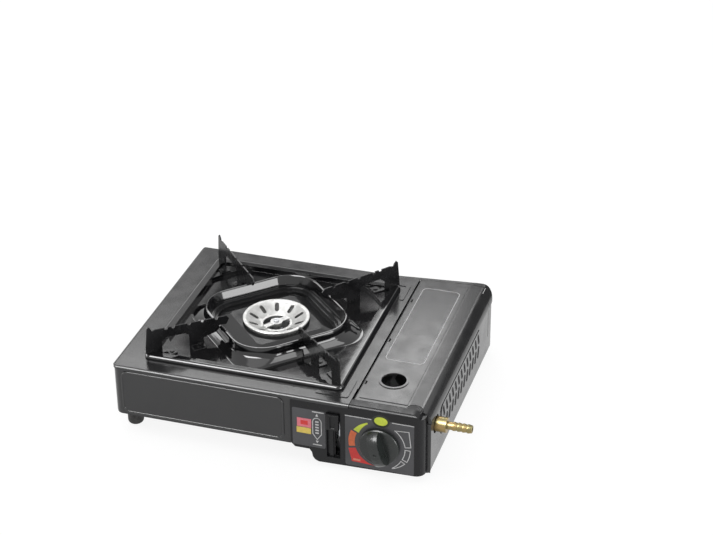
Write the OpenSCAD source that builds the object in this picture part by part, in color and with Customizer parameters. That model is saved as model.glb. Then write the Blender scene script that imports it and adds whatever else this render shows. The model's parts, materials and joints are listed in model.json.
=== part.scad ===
// Butane cassette stove: pressed steel case, lift-off pan support, hinged cartridge lid,
// turning gas knob with piezo igniter, and a sliding lever that locks the cartridge.
// Every module is drawn from the case's own corner (left side, front face, table top), in millimetres.

/* [Case] */
// Width of the case, without the hose nozzle
case_w = 343; // [325:1:370]
// Depth of the case at the cartridge bay, without the knob
case_d = 276; // [268:1:300]
// How much shallower the case is beside the bay
pan_short = 10.5; // [6:0.5:12]
// Lean of the bay's rear wall, in degrees
rear_lean = 6; // [5:0.5:8]
// Height of the flat top above the table
top_z = 81.5; // [80:0.5:90]
// Thickness of the case's steel sheet
sheet = 0.8; // [0.6:0.1:1.2]
// Height of the shallow pan's floor under the burner
pan_floor_z = 23; // [18:0.5:28]
// Height of the deep cartridge box's floor
box_floor_z = 6.5; // [5:0.5:9]
// Plan radius of the left corners and of the front right corner
corner_r = 10; // [6:1:14]
// Plan radius of the rear right corner
rear_corner_r = 16; // [12:1:20]
// Radius along the bottom edges
bottom_r = 6; // [3:0.5:8]
// Radius along the top edges
edge_r = 3.5; // [2.5:0.5:4]
// Height of the top panel's turned-down skirt
skirt_h = 4; // [3.6:0.2:5]
// Height of the raised panel on the front wall
apron_h = 51; // [40:1:51]
// How far the raised panels stand out of a wall
emboss = 0.8; // [0.4:0.1:0.8]
// Number of louvres in each row on the right wall
louvre_count = 13; // [6:1:13]
// Width of one louvre slot
louvre_w = 3; // [2:0.5:4]
// Length of one louvre slot
louvre_len = 13; // [9:1:14]
// Number of air slots under the burner
air_slots = 7; // [3:1:8]

/* [Cartridge bay and lid] */
// Distance from the right side to the seam between top panel and lid
bay_w = 83.5; // [81:0.5:85]
// Open width of the seams around the lid
seam_gap = 1.2; // [1:0.1:1.6]
// Distance from the front face to the lid
lid_front = 12.6; // [12.6:0.2:15]
// Distance from the lid's rear edge to the rear wall
lid_rear = 8; // [6:0.5:12]
// Length of the fixed corner behind the lid's turned-down side
rear_corner_len = 28; // [24:1:34]
// Width of the lid's sloping band beside the right edge
crease_w = 25; // [20:1:28]
// Fall of that band before it turns down
crease_drop = 1.5; // [1:0.5:2.5]
// Radius at which the lid turns down to the right wall
side_r = 13; // [11:1:14]
// Radius of the round hole in the lid
lid_hole_r = 13; // [9:1:15]
// Distance of that hole behind the front face
lid_hole_y = 56; // [40:1:70]
// Radius of the hinge pin
hinge_pin_r = 1.25; // [1:0.05:1.4]
// Wall of the rolled hinge knuckles
knuckle_wall = 0.9; // [0.7:0.1:1]
// Radial running clearance of turning parts
running = 0.05; // [0.02:0.01:0.09]
// Radius of the gas cartridge that the bay takes
cartridge_r = 33.5; // [32:0.5:34]
// Travel of the carriage that pushes the cartridge home
push_travel = 8; // [6:0.5:9]

/* [Pan support] */
// Side of the square drip tray
tray_side = 218; // [205:1:220]
// Distance of the tray's centre from the seam beside the lid
tray_from_seam = 122.5; // [119.5:0.5:127.5]
// Distance of the tray's centre from the front face
tray_y = 130; // [126:1:136]
// Height of the tray's rim above the table
rim_z = 86.5; // [85.5:0.5:88]
// Width of the tray's flat rim
rim_band = 9.2; // [7:0.2:11]
// Depth from the rim to the tray's underside
tray_depth = 7; // [6:0.5:7]
// Plan radius of the tray's corners
tray_corner_r = 8; // [5:1:10]
// Width across the flats of the wind ring
ring_across = 132; // [126:1:136]
// Corner radius of the wind ring
ring_r = 37; // [30:1:42]
// Width of the wind ring's folded wall
ring_t = 5; // [4:0.5:6]
// Height of the wind ring's edge above the table
ring_z = 97; // [94:0.5:99]
// Radius of the circle that bounds the raised corner lands
land_r = 118; // [112:1:122]
// Height of the corner lands above the tray's floor
land_h = 3.7; // [2:0.1:4]
// Thickness of the pan fins
fin_t = 1.5; // [1:0.1:2]
// Height of the fins' outer posts above the table
fin_top_z = 118; // [116:0.5:122]
// Lift that takes the pan support clear of the case
tray_lift = 60; // [40:5:80]

/* [Burner] */
// Radius of the burner's bright rim
burner_r = 36; // [34:0.5:38]
// Height of the rim above the table
burner_z = 89.5; // [89:0.5:92]
// Height of the raised island around the burner
island_z = 85; // [84:0.5:87.5]
// Half width of the island's flat top
island_hw = 38.5; // [37.5:0.5:40]
// Number of flame slots
flame_slots = 10; // [6:1:14]
// Width of one flame slot
flame_slot_w = 4.5; // [3:0.5:5.5]
// Outside radius of the mixing tube
mix_r = 9; // [8:0.5:9.5]
// Direction of the mixing tube, clockwise from the right
mix_turn = 42; // [40:1:44]
// Distance from the burner's centre to the open end of the mixing tube
mix_reach = 118; // [110:1:122]

/* [Knob and igniter] */
// Distance of the knob's axis from the right side
knob_from_right = 51; // [46:0.5:54]
// Height of the knob's axis above the table
knob_z = 39; // [36:0.5:42]
// Radius of the knob
knob_r = 21; // [18:0.1:23]
// How far the knob stands out of the front face
knob_reach = 18; // [14:0.5:22]
// Width of the knob's grip at its root
grip_w = 12.6; // [9:0.2:16]
// Turn from off to full flame, in degrees
knob_turn = 110; // [90:5:120]
// Radius of the valve spindle
spindle_r = 3; // [2.5:0.1:3.5]
// Smallest radius of the igniter cam
cam_r = 10; // [8:0.5:11]
// Rise of the igniter cam over the knob's whole turn
cam_rise = 5; // [3:0.5:5.5]
// Radius of the igniter's plunger
plunger_r = 2.5; // [2:0.1:3]

/* [Lock lever] */
// Distance of the lever's plate from the seam beside the lid
lever_from_seam = 12.5; // [12.1:0.1:13]
// Width of the thumb piece
thumb_w = 13; // [10:0.5:13]
// Height of the thumb piece
thumb_h = 18.5; // [14:0.5:19]
// Travel of the lever from open to locked
lever_travel = 28; // [24:1:29]
// Thickness of the lever's plate
lever_t = 1.6; // [1.2:0.1:1.8]
// Radius of the pin that drives the carriage
drive_pin_r = 2; // [1.5:0.1:2.3]
// Thickness of the push rod
push_rod_t = 2; // [1.5:0.1:2]

/* [Gas supply] */
// Radius of the hose nozzle over its barbs
nozzle_r = 4.75; // [4:0.05:5.5]
// How far the nozzle stands out of the right side
nozzle_reach = 37; // [30:1:45]
// Radius of the nozzle's shoulder
shoulder_r = 8; // [7:0.5:9]
// Height of the nozzle's axis above the table
nozzle_z = 55.7; // [54:0.1:56]
// Distance of the nozzle's axis behind the front face
nozzle_y = 31.5; // [30:0.5:33]
// Radius of the clearance hole around the nozzle
nozzle_hole_r = 10; // [9.5:0.1:10.4]
// Radius of the burner's gas tube
tube_r = 3; // [2:0.25:3.5]

/* [Feet] */
// Radius of the tall left feet
tall_foot_r = 8.5; // [7:0.5:9.5]
// Radius of the short right feet
short_foot_r = 8; // [7:0.5:10]
// Distance of the tall feet's centres from the left side
tall_foot_x = 14.5; // [14:0.5:22]
// Distance of the feet's centres from the front and rear faces
foot_inset = 24; // [20:1:30]

/* [Hidden] */
$fn = 48;

// Places across the case, counted from its left side
seam_x = case_w - bay_w;
tray_x = seam_x - tray_from_seam;
lever_x = seam_x - lever_from_seam;

// Clearances: the lap of one sheet inside another, and the space between loose neighbours
lap = sheet + 0.1;
clear = 0.3;
over = 1;                                  // how far a cutting tool runs past what it cuts

// The case corner, placed so that the whole object stands centred on its origin
corner_x = -(case_w + nozzle_reach) / 2;
corner_y = -(case_d - knob_reach) / 2;

// Levels
skirt_z = top_z - skirt_h;                 // lower edge of the top panel's skirt
under_top = top_z - sheet;                 // underside of the top sheet
pan_inside_z = pan_floor_z + sheet;        // inside floor of the shallow pan
box_inside_z = box_floor_z + sheet;        // inside floor of the cartridge box
side_centre_z = top_z - crease_drop - side_r;
lid_skirt_z = side_centre_z - 0.2;         // lower edge of the lid's turned-down side
wall_top_z = lid_skirt_z - 0.5;            // top of the box's outer wall
rain_lip_z = lid_skirt_z + 3.5;              // top of the lip inside the lid's edge
lip_in = 5;                                // how far that lip stands inside the wall

// The cartridge bay
shield_x = seam_x - 1.9;                   // left face of the heat shield
bay_x = shield_x + sheet;                  // right face of the heat shield
box_x = lever_x - 21;                      // left wall of the deep box
crease_x = case_w - crease_w;
lid_side_back = case_d - rear_corner_len;
lid_notch_x = case_w - 10;                 // where the fixed rear corner begins
cartridge_x = case_w - lap - sheet - cartridge_r - 7.8;
cartridge_z = box_inside_z + cartridge_r + 1.2;
bezel_d = lid_front - seam_gap / 2;        // depth of the bezel's returns
bulkhead_y = bezel_d + 2;                  // front face of the inner front wall
bulkhead_t = 1;
behind_bulkhead = bulkhead_y + bulkhead_t;

// The hinge
knuckle_r = hinge_pin_r + running + knuckle_wall;
hinge_x = seam_x + seam_gap / 2 + knuckle_r;
hinge_z = top_z - knuckle_r - 0.05;
ear_w = 6;
ear_places = [0.14, 0.5, 0.86];            // places of the case's ears along the lid

// The recess that takes the tray
tray_hw = tray_side / 2;
basin_hw = tray_hw - rim_band;
tray_floor_z = rim_z - tray_depth;         // underside of the tray's floor
tray_top_z = tray_floor_z + sheet;         // upper face of the tray's floor
recess_hw = basin_hw + 5.2;
recess_z = tray_floor_z - 2.2;             // upper face of the recess floor
ring_hw = ring_across / 2;
collar_gap = 1.2;                          // room between the ring and the well's collar
collar_hw = ring_hw - ring_t - collar_gap; // half width of the well's collar
collar_z = tray_floor_z + 5.5;
step_in = 3;                               // width of the collar's top and of its step
step_h = 3;                                // fall from the collar's top to its step
well_floor_z = recess_z + 1.2;
land_z = tray_top_z + land_h;
seat_lift = 0.2;                           // gap between the tray's skirt and the case top

// The burner
burner_wall_r = burner_r - 2.6;
burner_wall = 1.5;
island_hole_r = burner_wall_r + 0.6;
bowl_floor_r = 17;                         // where the bowl's cone meets its floor
bowl_hole_r = 14.5;
flame_slot_in = 20.5;                      // inner ends of the flame slots
bowl_floor_z = burner_z - 9.5;
head_low_z = burner_z - 13.5;
base_floor_z = head_low_z - 14;
base_wall = 1.5;
mix_z = recess_z - sheet - mix_r - 1.5;    // axis of the mixing tube
mix_wall = 1.2;
jet_start = mix_reach + 4;
jet_end = mix_reach + 16;
jet_r = 4;
jet_x = tray_x + jet_end * cos(mix_turn);
jet_y = tray_y - jet_end * sin(mix_turn);
electrode_turn = -25;
electrode_out = burner_wall_r + 3.6;
electrode_x = tray_x + electrode_out * cos(electrode_turn);
electrode_y = tray_y - electrode_out * sin(electrode_turn);
electrode_r = 2.5;
electrode_low_z = base_floor_z - 6;

// The knob and its spindle
knob_x = case_w - knob_from_right;
knob_gap = 0.6;
knob_disc = 4.6;
knob_lean = 17;                            // lean of the grip from upright when the knob is at off
bezel_wall = 2.5;
reg_front_y = behind_bulkhead + 8;         // front of the regulator's block
reg_back_y = reg_front_y + 30;
reg_low_z = box_inside_z + 16.7;
reg_top_z = nozzle_z + 8.3;
reg_left_x = knob_x - 21.5;
reg_right_x = knob_x + 24.5;
spindle_end_y = reg_front_y + 14;
spindle_head = knob_reach - 6;             // depth of the knob's bore
cam_y = bezel_wall + 2;
cam_t = 5;
igniter_left_x = knob_x - 36.5;
igniter_right_x = knob_x - 17.5;

// The lock lever and the carriage
lever_front_y = bezel_wall + 3.5;
lever_back_y = behind_bulkhead + 8;
pin_z = 42;                              // height of the carriage's drive pin
pin_y = lever_back_y - 4;
lever_low_z = pin_z - 4;
lever_high_z = pin_z + lever_travel + 3.6;
push_rod_x = lever_x + lever_t + 1.4;
push_rod_low = pin_z - 5.5;
push_rod_h = 10;
thumb_z = top_z - 31.5;                    // lower edge of the thumb piece when open
thumb_x = lever_x - 10.6;
pocket_edge = 0.7;                         // room around the thumb piece in its pocket
pocket_low = 14.5;
pocket_d = 3;
rib_front_y = 1.6;                         // front of the rib in the pocket
push_plate_y = case_d - 13;
guide_ys = [90, case_d - 55];

// ---------------------------------------------------------------- shared shapes

module at_corner() translate([corner_x, corner_y, 0]) children();
module block(low, high) translate(low) cube(high - low);
module along_x(x0, x1) translate([x0, 0, 0]) rotate([90, 0, 90]) linear_extrude(x1 - x0) children();
module along_y(y0, y1) translate([0, y1, 0]) rotate([90, 0, 0]) linear_extrude(y1 - y0) children();
module along_z(z0, z1) translate([0, 0, z0]) linear_extrude(z1 - z0) children();
module disc(at, r) translate(at) circle(r = r);
module hexagon(at, r) translate(at) circle(r = r, $fn = 6);
module on_tray() translate([tray_x, tray_y, 0]) children();
module along_mix() on_tray() translate([0, 0, mix_z]) rotate([0, 90, -mix_turn]) children();

function arc(centre, r, from, to, steps = 8) =
    [for (k = [0:steps]) let (a = from + (to - from) * k / steps) centre + r * [cos(a), sin(a)]];

// Square with rounded corners about the origin, given half its width
function round_square(half, r, steps = 8) = concat(
    arc([half - r, half - r], r, 0, 90, steps), arc([r - half, half - r], r, 90, 180, steps),
    arc([r - half, r - half], r, 180, 270, steps), arc([half - r, r - half], r, 270, 360, steps));

module round_box(low, high, r) {
    half = (high - low) / 2;
    translate(low + half) polygon(concat(
        arc([half.x - r, half.y - r], r, 0, 90), arc([r - half.x, half.y - r], r, 90, 180),
        arc([r - half.x, r - half.y], r, 180, 270), arc([half.x - r, r - half.y], r, 270, 360)));
}

// The rear wall runs straight behind the pan and leans back across the cartridge bay
pan_d = case_d - pan_short;
rear_turn_x = case_w - rear_corner_r * (1 + sin(rear_lean))
    - (case_d - rear_corner_r * (1 - cos(rear_lean)) - pan_d) / tan(rear_lean);
function rear_y(x) = pan_d + max(0, x - rear_turn_x) * tan(rear_lean);

// Plan of the case, moved inwards by inset
function case_plan(inset) = concat(
    arc([corner_r, corner_r], corner_r - inset, 180, 270),
    arc([case_w - corner_r, corner_r], corner_r - inset, 270, 360),
    arc([case_w - rear_corner_r, case_d - rear_corner_r], rear_corner_r - inset, 0, 90 + rear_lean),
    [[rear_turn_x + inset * tan(rear_lean / 2), pan_d - inset]],
    arc([corner_r, pan_d - corner_r], corner_r - inset, 90, 180));

// Cross-section of the tub seen from the front; its floors stay at their own heights
function tub_section(inset, high) = concat(
    arc([bottom_r, pan_floor_z + bottom_r - lap], bottom_r - inset, 180, 270),
    [[box_x + inset - lap, pan_floor_z + inset - lap], [box_x + inset - lap, box_floor_z + inset - lap]],
    arc([case_w - bottom_r, box_floor_z + bottom_r - lap], bottom_r - inset, 270, 360),
    [[case_w - inset, high], [inset, high]]);

// Cross-section of the top: rounded left edge, flat, crease and the turned-down right edge
function top_section(inset) = concat(
    [[inset, 0]], arc([edge_r, top_z - edge_r], edge_r - inset, 180, 90),
    [[crease_x, top_z - inset]],
    arc([case_w - side_r, side_centre_z], side_r - inset, 90, 0, 10), [[case_w - inset, 0]]);

function end_section(inset, low, high) = concat(
    [[low + inset, 0]], arc([low + edge_r, top_z - edge_r], edge_r - inset, 180, 90),
    arc([high - edge_r, top_z - edge_r], edge_r - inset, 90, 0), [[high - inset, 0]]);

// The whole upper form of the case, moved inwards by inset; its two rear edges meet in a mitre
module upper_form(inset) intersection() {
    along_y(-over, case_d + over) polygon(top_section(inset));
    along_z(-over, top_z + over) polygon(case_plan(inset));
    along_x(-over, case_w + over) polygon(end_section(inset, 0, 2 * case_d));
    union() {
        along_x(-2 * over, case_w + 2 * over) polygon(end_section(inset, -case_d, pan_d));
        translate([rear_turn_x, pan_d, 0]) rotate([0, 0, rear_lean])
            along_x(-case_w, case_w) polygon(end_section(inset, -2 * case_d, 0));
    }
}

module upper_skin() difference() {
    upper_form(0);
    upper_form(sheet);
}

// Plain rivets and screws stand along Z with the underside of their head at height z
module rivet(at, z, grip, head_r = 2.5, head_h = 1, shank_r = 1.25) {
    along_z(z, z + head_h) disc(at, head_r);
    along_z(z - grip, z) disc(at, shank_r);
}

// ---------------------------------------------------------------- case

floor_rivet_r = 1.25;
stand_foot = 55;                           // distance of the burner stand's rivets from its centre
saddle_at = mix_reach - 18;                // distance of the tube saddle from the burner's centre
saddle_x = tray_x + saddle_at * cos(mix_turn);
saddle_y = tray_y - saddle_at * sin(mix_turn);
saddle_half = 13;
flange = 10;                               // length of the feet on brackets
bracket_t = 1.5;

// Each entry: plan position, height of the top of the flange, thickness that the rivet joins
function floor_rivet_list() = concat(
    [for (s = [-1, 1]) [[tray_x, tray_y + s * stand_foot], pan_inside_z + bracket_t, bracket_t + sheet]],
    [[[cartridge_x, 92], box_inside_z + sheet, 2 * sheet],
     [[cartridge_x, case_d - 42], box_inside_z + sheet, 2 * sheet]],
    [for (y = guide_ys) [[push_rod_x - 6, y + 5], box_inside_z + bracket_t, bracket_t + sheet]],
    [for (x = [box_x + 7, case_w - 20]) [[x, behind_bulkhead + 5], box_inside_z + bulkhead_t,
        bulkhead_t + sheet]]);

module floor_rivet_holes() for (r = floor_rivet_list())
    along_z(r[1] - r[2] - over, r[1] + over) disc(r[0], floor_rivet_r + 0.05);

tall_foot_places = [[tall_foot_x, foot_inset - 2], [tall_foot_x, pan_d - foot_inset + 2]];
rear_slot_pitch = 20;
rear_slot_z = [pan_floor_z + 25, pan_floor_z + 43];
short_foot_places = [[case_w - 26, foot_inset + 4], [case_w - 26, case_d - foot_inset]];
foot_screw_r = 1.45;

apron_low_z = skirt_z - 0.5 - apron_h;
apron_right_x = case_w - 153;
bezel_left_x = case_w - 146;
vent_low = [50, 27];                       // corner of the vent panel in depth and height
vent_high = [case_d - 65, lid_skirt_z - 2.8];
louvre_pitch = (vent_high.x - vent_low.x - 18) / (louvre_count - 1);
louvre_lean = 18;
air_slot_pitch = 14;

module louvre(y, z, lean) translate([0, y, z]) rotate([lean, 0, 0])
    along_x(case_w - 4, case_w + over)
        round_box([-louvre_w, -louvre_len] / 2, [louvre_w, louvre_len] / 2, louvre_w / 2 - 0.05);

module raised_apron(out, inset) along_y(out, lap + sheet)
    round_box([corner_r + 1 + inset, apron_low_z + inset],
        [apron_right_x - inset, skirt_z - 0.5 - inset], 8 - inset);

module raised_vent(out, inset) along_x(case_w - lap - sheet, case_w - lap + emboss - out)
    round_box(vent_low + [inset, inset], vent_high - [inset, inset], 8 - inset);

module tub(inset, high) intersection() {
    along_y(0, case_d) polygon(tub_section(inset, high));
    along_z(0, top_z) polygon(case_plan(inset));
}

// Lip of the cartridge box under the lid's edge and the rear shoulder
module rain_lip() intersection() {
    difference() {
        union() {
            along_z(wall_top_z - sheet, wall_top_z) polygon(case_plan(lap));
            along_z(wall_top_z - sheet, rain_lip_z) polygon(case_plan(lip_in));
        }
        along_z(0, top_z) polygon(case_plan(lip_in + sheet));
    }
    block([bay_x + 0.2, bezel_d + 0.3, 0], [case_w, case_d, top_z]);
}

module lower_case() color([0.11, 0.11, 0.115]) at_corner() difference() {
    union() {
        difference() {
            union() {
                tub(lap, top_z - edge_r);
                raised_apron(lap - emboss, 0);
                raised_vent(0, 0);
            }
            tub(lap + sheet, top_z);
            raised_apron(lap - emboss + sheet, sheet);
            raised_vent(sheet, sheet);
            block([bay_x, -over, wall_top_z], [case_w + over, case_d + over, top_z]);
        }
        rain_lip();
        // flange down the front edge of the right wall
        block([case_w - 8, bezel_d + clear, box_inside_z],
            [case_w - lap - sheet / 2, bezel_d + clear + sheet, wall_top_z]);
    }
    block([bezel_left_x - 0.3, -over, 0], [case_w + over, bezel_d + clear, top_z]);
    // pressed line down the right wall, under the lid's rear end
    block([case_w - lap - 0.35, lid_side_back - 0.6, 30],
        [case_w + over, lid_side_back + 0.6, wall_top_z - 2]);
    for (k = [0:louvre_count - 1]) {
        y = vent_low.x + 9 + k * louvre_pitch;
        louvre(y, (vent_low.y + vent_high.y) / 2 + 8.2, louvre_lean);
        louvre(y, (vent_low.y + vent_high.y) / 2 - 8.2, -louvre_lean);
    }
    along_x(case_w - 6, case_w + over) disc([nozzle_y, nozzle_z], nozzle_hole_r);
    for (k = [0:air_slots - 1], s = [-1, 1])
        along_z(pan_floor_z - over, pan_inside_z + over)
            round_box([tray_x + (k - (air_slots - 1) / 2) * air_slot_pitch - 2.5, tray_y + s * 42 - 17],
                [tray_x + (k - (air_slots - 1) / 2) * air_slot_pitch + 2.5, tray_y + s * 42 + 17 - 8],
                    2.4);
    for (k = [-4:4])
        along_y(pan_d - 4, pan_d + over)
            round_box([tray_x + k * rear_slot_pitch - 2, rear_slot_z[0]],
                [tray_x + k * rear_slot_pitch + 2, rear_slot_z[1]], 1.9);
    for (p = concat(tall_foot_places, short_foot_places))
        along_z(0, pan_inside_z + over) disc(p, foot_screw_r + 0.1);
    floor_rivet_holes();
}

rib_w = 5;
rib_arm_len = 30;
rib_h = 0.8;
well_r = ring_r - ring_t - collar_gap;
island_foot_hw = collar_hw - 2 * step_in - 1.8;
island_cut = 2.8;                          // how far the island's corners are cut back

function island_section(inset) = [
    [-island_foot_hw + inset, 0], [island_foot_hw - inset, 0],
        [island_foot_hw - inset, well_floor_z - inset],
    [island_hw - inset, island_z - inset], [inset - island_hw, island_z - inset],
    [inset - island_foot_hw, well_floor_z - inset]];
module well_prism(half, low, high) along_z(low, high)
    polygon(round_square(half, half - collar_hw + well_r));

// The well inside the wind ring: a collar with a step on its inside, and the island round the burner
module well_form(inset, low) rotate([0, 0, 45]) {
    difference() {
        well_prism(collar_hw - inset, low, collar_z - inset);
        well_prism(collar_hw - step_in + inset, collar_z - step_h - inset, top_z + rim_z);
        well_prism(collar_hw - 2 * step_in + inset, well_floor_z - inset, top_z + rim_z);
    }
    intersection() {
        well_prism(island_foot_hw - inset, low, island_z + over);
        along_x(-ring_hw, ring_hw) polygon(island_section(inset));
        along_y(-ring_hw, ring_hw) polygon(island_section(inset));
        rotate_extrude($fn = 96) polygon([[0, 0], [island_foot_hw * sqrt(2) - island_cut - inset, 0],
            [island_foot_hw * sqrt(2) - island_cut - inset, well_floor_z - inset],
            [island_hw * sqrt(2) - island_cut - inset, island_z - inset], [0, island_z - inset]]);
    }
}

// Raised L with round ends, beside a front or rear right corner of the tray
module corner_rib(at, turn) translate(at) rotate([0, 0, turn]) along_z(under_top, top_z + rib_h)
    polygon(concat(arc([0, 0], rib_w / 2, 270, 360), arc([0, rib_arm_len], rib_w / 2, 0, 180),
        [[-rib_w / 2, rib_w / 2]], arc([-rib_arm_len, 0], rib_w / 2, 90, 270)));

// Plan of the lid's opening, grown by a gap on every side
function lid_plan(grow) = let (x0 = seam_x + seam_gap / 2 - grow, x1 = lid_notch_x + grow) [
    [x0, lid_front - grow], [case_w + 2, lid_front - grow], [case_w + 2, lid_side_back + grow],
    [x1, lid_side_back + grow], [x1, rear_y(x1) - lid_rear + grow], [x0, rear_y(x0) - lid_rear + grow]];

module top_panel() color([0.12, 0.12, 0.125]) at_corner() difference() {
    union() {
        intersection() {
            upper_skin();
            union() {
                block([-over, -over, skirt_z], [seam_x - seam_gap / 2, case_d + over, top_z]);
                difference() {
                    block([seam_x - seam_gap, bezel_d + 20, lid_skirt_z],
                        [case_w + over, case_d + over, top_z]);
                    block([seam_x - 2 * seam_gap, bezel_d, lid_skirt_z - over],
                        [lid_notch_x, case_d + 9, skirt_z]);
                    along_z(lid_skirt_z - over, top_z + over) polygon(lid_plan(seam_gap / 2));
                }
            }
        }
        on_tray() difference() {
            along_z(recess_z - sheet, top_z)
                polygon(round_square(recess_hw + sheet, tray_corner_r + sheet));
            along_z(recess_z, top_z + over) polygon(round_square(recess_hw, tray_corner_r));
        }
        on_tray() well_form(0, recess_z - sheet);
        corner_rib([tray_x + tray_hw + 6, tray_y - tray_hw - 6], 0);
        corner_rib([tray_x + tray_hw + 6, tray_y + tray_hw + 6], 90);
    }
    on_tray() difference() {
        along_z(recess_z, top_z + over) polygon(round_square(recess_hw, tray_corner_r));
        well_form(0, recess_z - sheet);
    }
    on_tray() well_form(sheet, recess_z - sheet - over);
    on_tray() along_z(0, island_z + over) disc([0, 0], island_hole_r);
}

module heat_shield() color([0.62, 0.63, 0.65]) at_corner() difference() {
    block([shield_x, behind_bulkhead, box_inside_z], [bay_x, pan_d - 12, top_z - 6]);
    along_x(shield_x - over, bay_x + over) disc([jet_y, gas_out_z], tube_r + 1);
    block([shield_x - over, heat_plate_y - heat_plate_w / 2 - 0.5, heat_plate_z - 0.5],
        [bay_x + over, heat_plate_y + heat_plate_w / 2 + 0.5, heat_plate_z + heat_plate_t + 0.5]);
    for (k = [0:5])
        along_x(shield_x - over, bay_x + over) disc([70 + k * 30, top_z - 18], 5);
}

reg_screw_places = [[reg_left_x + 5, reg_low_z + 5], [reg_right_x - 5, reg_low_z + 5]];
bezel_screw_places = [[box_x + 5.5, 15], [case_w - 12, 16], [case_w - 13, top_z - 17],
    [seam_x + 4, top_z - 16]];
small_screw_r = 1.5;
lead_hole = [push_rod_x + 3.6, 34.3];

module front_bulkhead() color([0.55, 0.56, 0.58]) at_corner() difference() {
    union() {
        block([box_x + 1, bulkhead_y, box_inside_z],
            [case_w - lap - sheet - 0.2 - bottom_r, behind_bulkhead, top_z - 10]);
        block([case_w - 12, bulkhead_y, box_inside_z + bottom_r],
            [case_w - lap - sheet - 0.2, behind_bulkhead, wall_top_z - 2]);
        block([box_x + 1, bulkhead_y, box_inside_z],
            [case_w - 14, behind_bulkhead + flange, box_inside_z + bulkhead_t]);
    }
    along_y(0, 30) disc([knob_x, knob_z], spindle_r + 2);
    along_y(0, 30) disc(lead_hole, 2.2);
    for (p = concat(reg_screw_places, bezel_screw_places)) along_y(0, 30) disc(p, small_screw_r + 0.1);
    block([lever_x - 2, bulkhead_y - over, box_inside_z + 1.5],
        [push_rod_x + push_rod_t + 0.5, behind_bulkhead + over, top_z]);
    block([shield_x - clear, behind_bulkhead, box_inside_z - over],
        [bay_x + clear, behind_bulkhead + flange + over, box_inside_z + bulkhead_t + over]);
    floor_rivet_holes();
}

// ---------------------------------------------------------------- front bezel

// Outline of the bezel seen from the front: low step on the left, then the deep box
bezel_step_z = 20.3;
function bezel_outline(inset, high) = [
    [bezel_left_x + inset, high], [bezel_left_x + inset, bezel_step_z + 4.5 + inset],
    [bezel_left_x + 4.5 + inset, bezel_step_z + inset], [box_x - 9 + inset, bezel_step_z + inset],
    [box_x - 6.5 + inset, bezel_step_z - 3.5 + inset], [box_x - 5.5 + inset, box_floor_z + 5 + inset],
    [box_x - 3 + inset, box_floor_z + 1.7 + inset], [box_x + 1 + inset, box_floor_z + inset],
    [bezel_right_x - inset, box_floor_z + bezel_rise + inset], [bezel_right_x - inset, high]];
function bezel_top(inset) = concat([[seam_x + inset, 30]], [[seam_x + inset, top_z - inset]],
    arc([bezel_right_x - side_r, top_z - side_r], side_r - inset, 90, 0), [[bezel_right_x - inset, 30]]);
function bezel_plan(inset) = concat([[bezel_left_x - 2, inset]],
    arc([bezel_right_x - bezel_corner_r, bezel_corner_r], bezel_corner_r - inset, 270, 360),
    [[bezel_right_x - inset, lid_front + 20], [bezel_left_x - 2, lid_front + 20]]);

bezel_right_x = case_w - 5;
bezel_corner_r = 9.5;
bezel_rise = 2.5;                          // how much the lower edge rises to the right
bump_at = [case_w - 18, bezel_d + 1];
bump_r = 8;
bezel_low_top = skirt_z - 0.3;

module bezel_form(inset, back) {
    intersection() {
        union() {
            along_y(inset, back) polygon(bezel_outline(inset, bezel_low_top - inset));
            along_y(inset, back) polygon(bezel_top(inset));
        }
        along_z(0, top_z) polygon(bezel_plan(inset));
        along_x(0, case_w) polygon(end_section(inset, 0, case_d));
    }
    intersection() {
        along_z(top_z - 9 + inset, top_z) disc(bump_at, bump_r - inset);
        along_y(0, case_d) polygon(top_section(inset));
    }
}

module control_bezel() color([0.06, 0.06, 0.065]) at_corner() {
    pocket_x0 = thumb_x - pocket_edge;
    pocket_x1 = thumb_x + thumb_w + pocket_edge;
    pocket_high = thumb_z + thumb_h + pocket_edge;
    difference() {
        union() {
            difference() {
                bezel_form(0, bezel_d);
                bezel_form(bezel_wall, bezel_d + over);
            }
            block([pocket_x0 - 2, 0.5, pocket_low - 2],
                [pocket_x1 + 2, pocket_d + 2, bezel_low_top - bezel_wall]);
            for (p = bezel_screw_places) along_y(bezel_wall - 1, bulkhead_y) disc(p, 3.5);
        }
        block([pocket_x0, -over, pocket_low], [pocket_x1, pocket_d, pocket_high]);
        block([lever_x - 3, -over, pocket_low + 1.5], [lever_x + lever_t + 0.5, 6, thumb_z + 8 + clear]);
        along_y(-over, bezel_wall + over) disc([knob_x, knob_z], spindle_r + 2);
        for (p = bezel_screw_places) along_y(bezel_wall + 1, bulkhead_y + over)
            disc(p, small_screw_r + 0.05);
        along_y(-over, 0.4) round_box(dial_low, dial_high, 2);
        along_y(-over, 0.4) round_box(sign_low, sign_high, 2);
    }
    // guide rib between the two slots of the pocket
    block([thumb_x + 2.3, rib_front_y, pocket_low], [lever_x - 4.6, pocket_d, thumb_z - 0.5]);
}

dial_low = [case_w - 87.5, 9];
dial_high = [bezel_right_x - bezel_corner_r - 0.5, bezel_low_top - 7];
sign_low = [bezel_left_x + 2, bezel_step_z + 3];
sign_high = [thumb_x - pocket_edge - 1.2, bezel_low_top - 8.5];
foil = 0.3;

module dial_plate() color([0.13, 0.13, 0.14]) at_corner() along_y(0.4 - foil, 0.4) difference() {
    round_box(dial_low, dial_high, 2);
    disc([knob_x, knob_z], spindle_r + 3);
}

module lever_plate_label() color([0.15, 0.15, 0.16]) at_corner()
    along_y(0.4 - foil, 0.4) round_box(sign_low, sign_high, 2);

// ---------------------------------------------------------------- lid and hinge

function ear_y(place) = lid_front + place * (lid_side_back - lid_front);
ear_ys = [for (place = ear_places) ear_y(place)];
lid_hole_x = case_w - 52.6;
lid_flange = 4;

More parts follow.
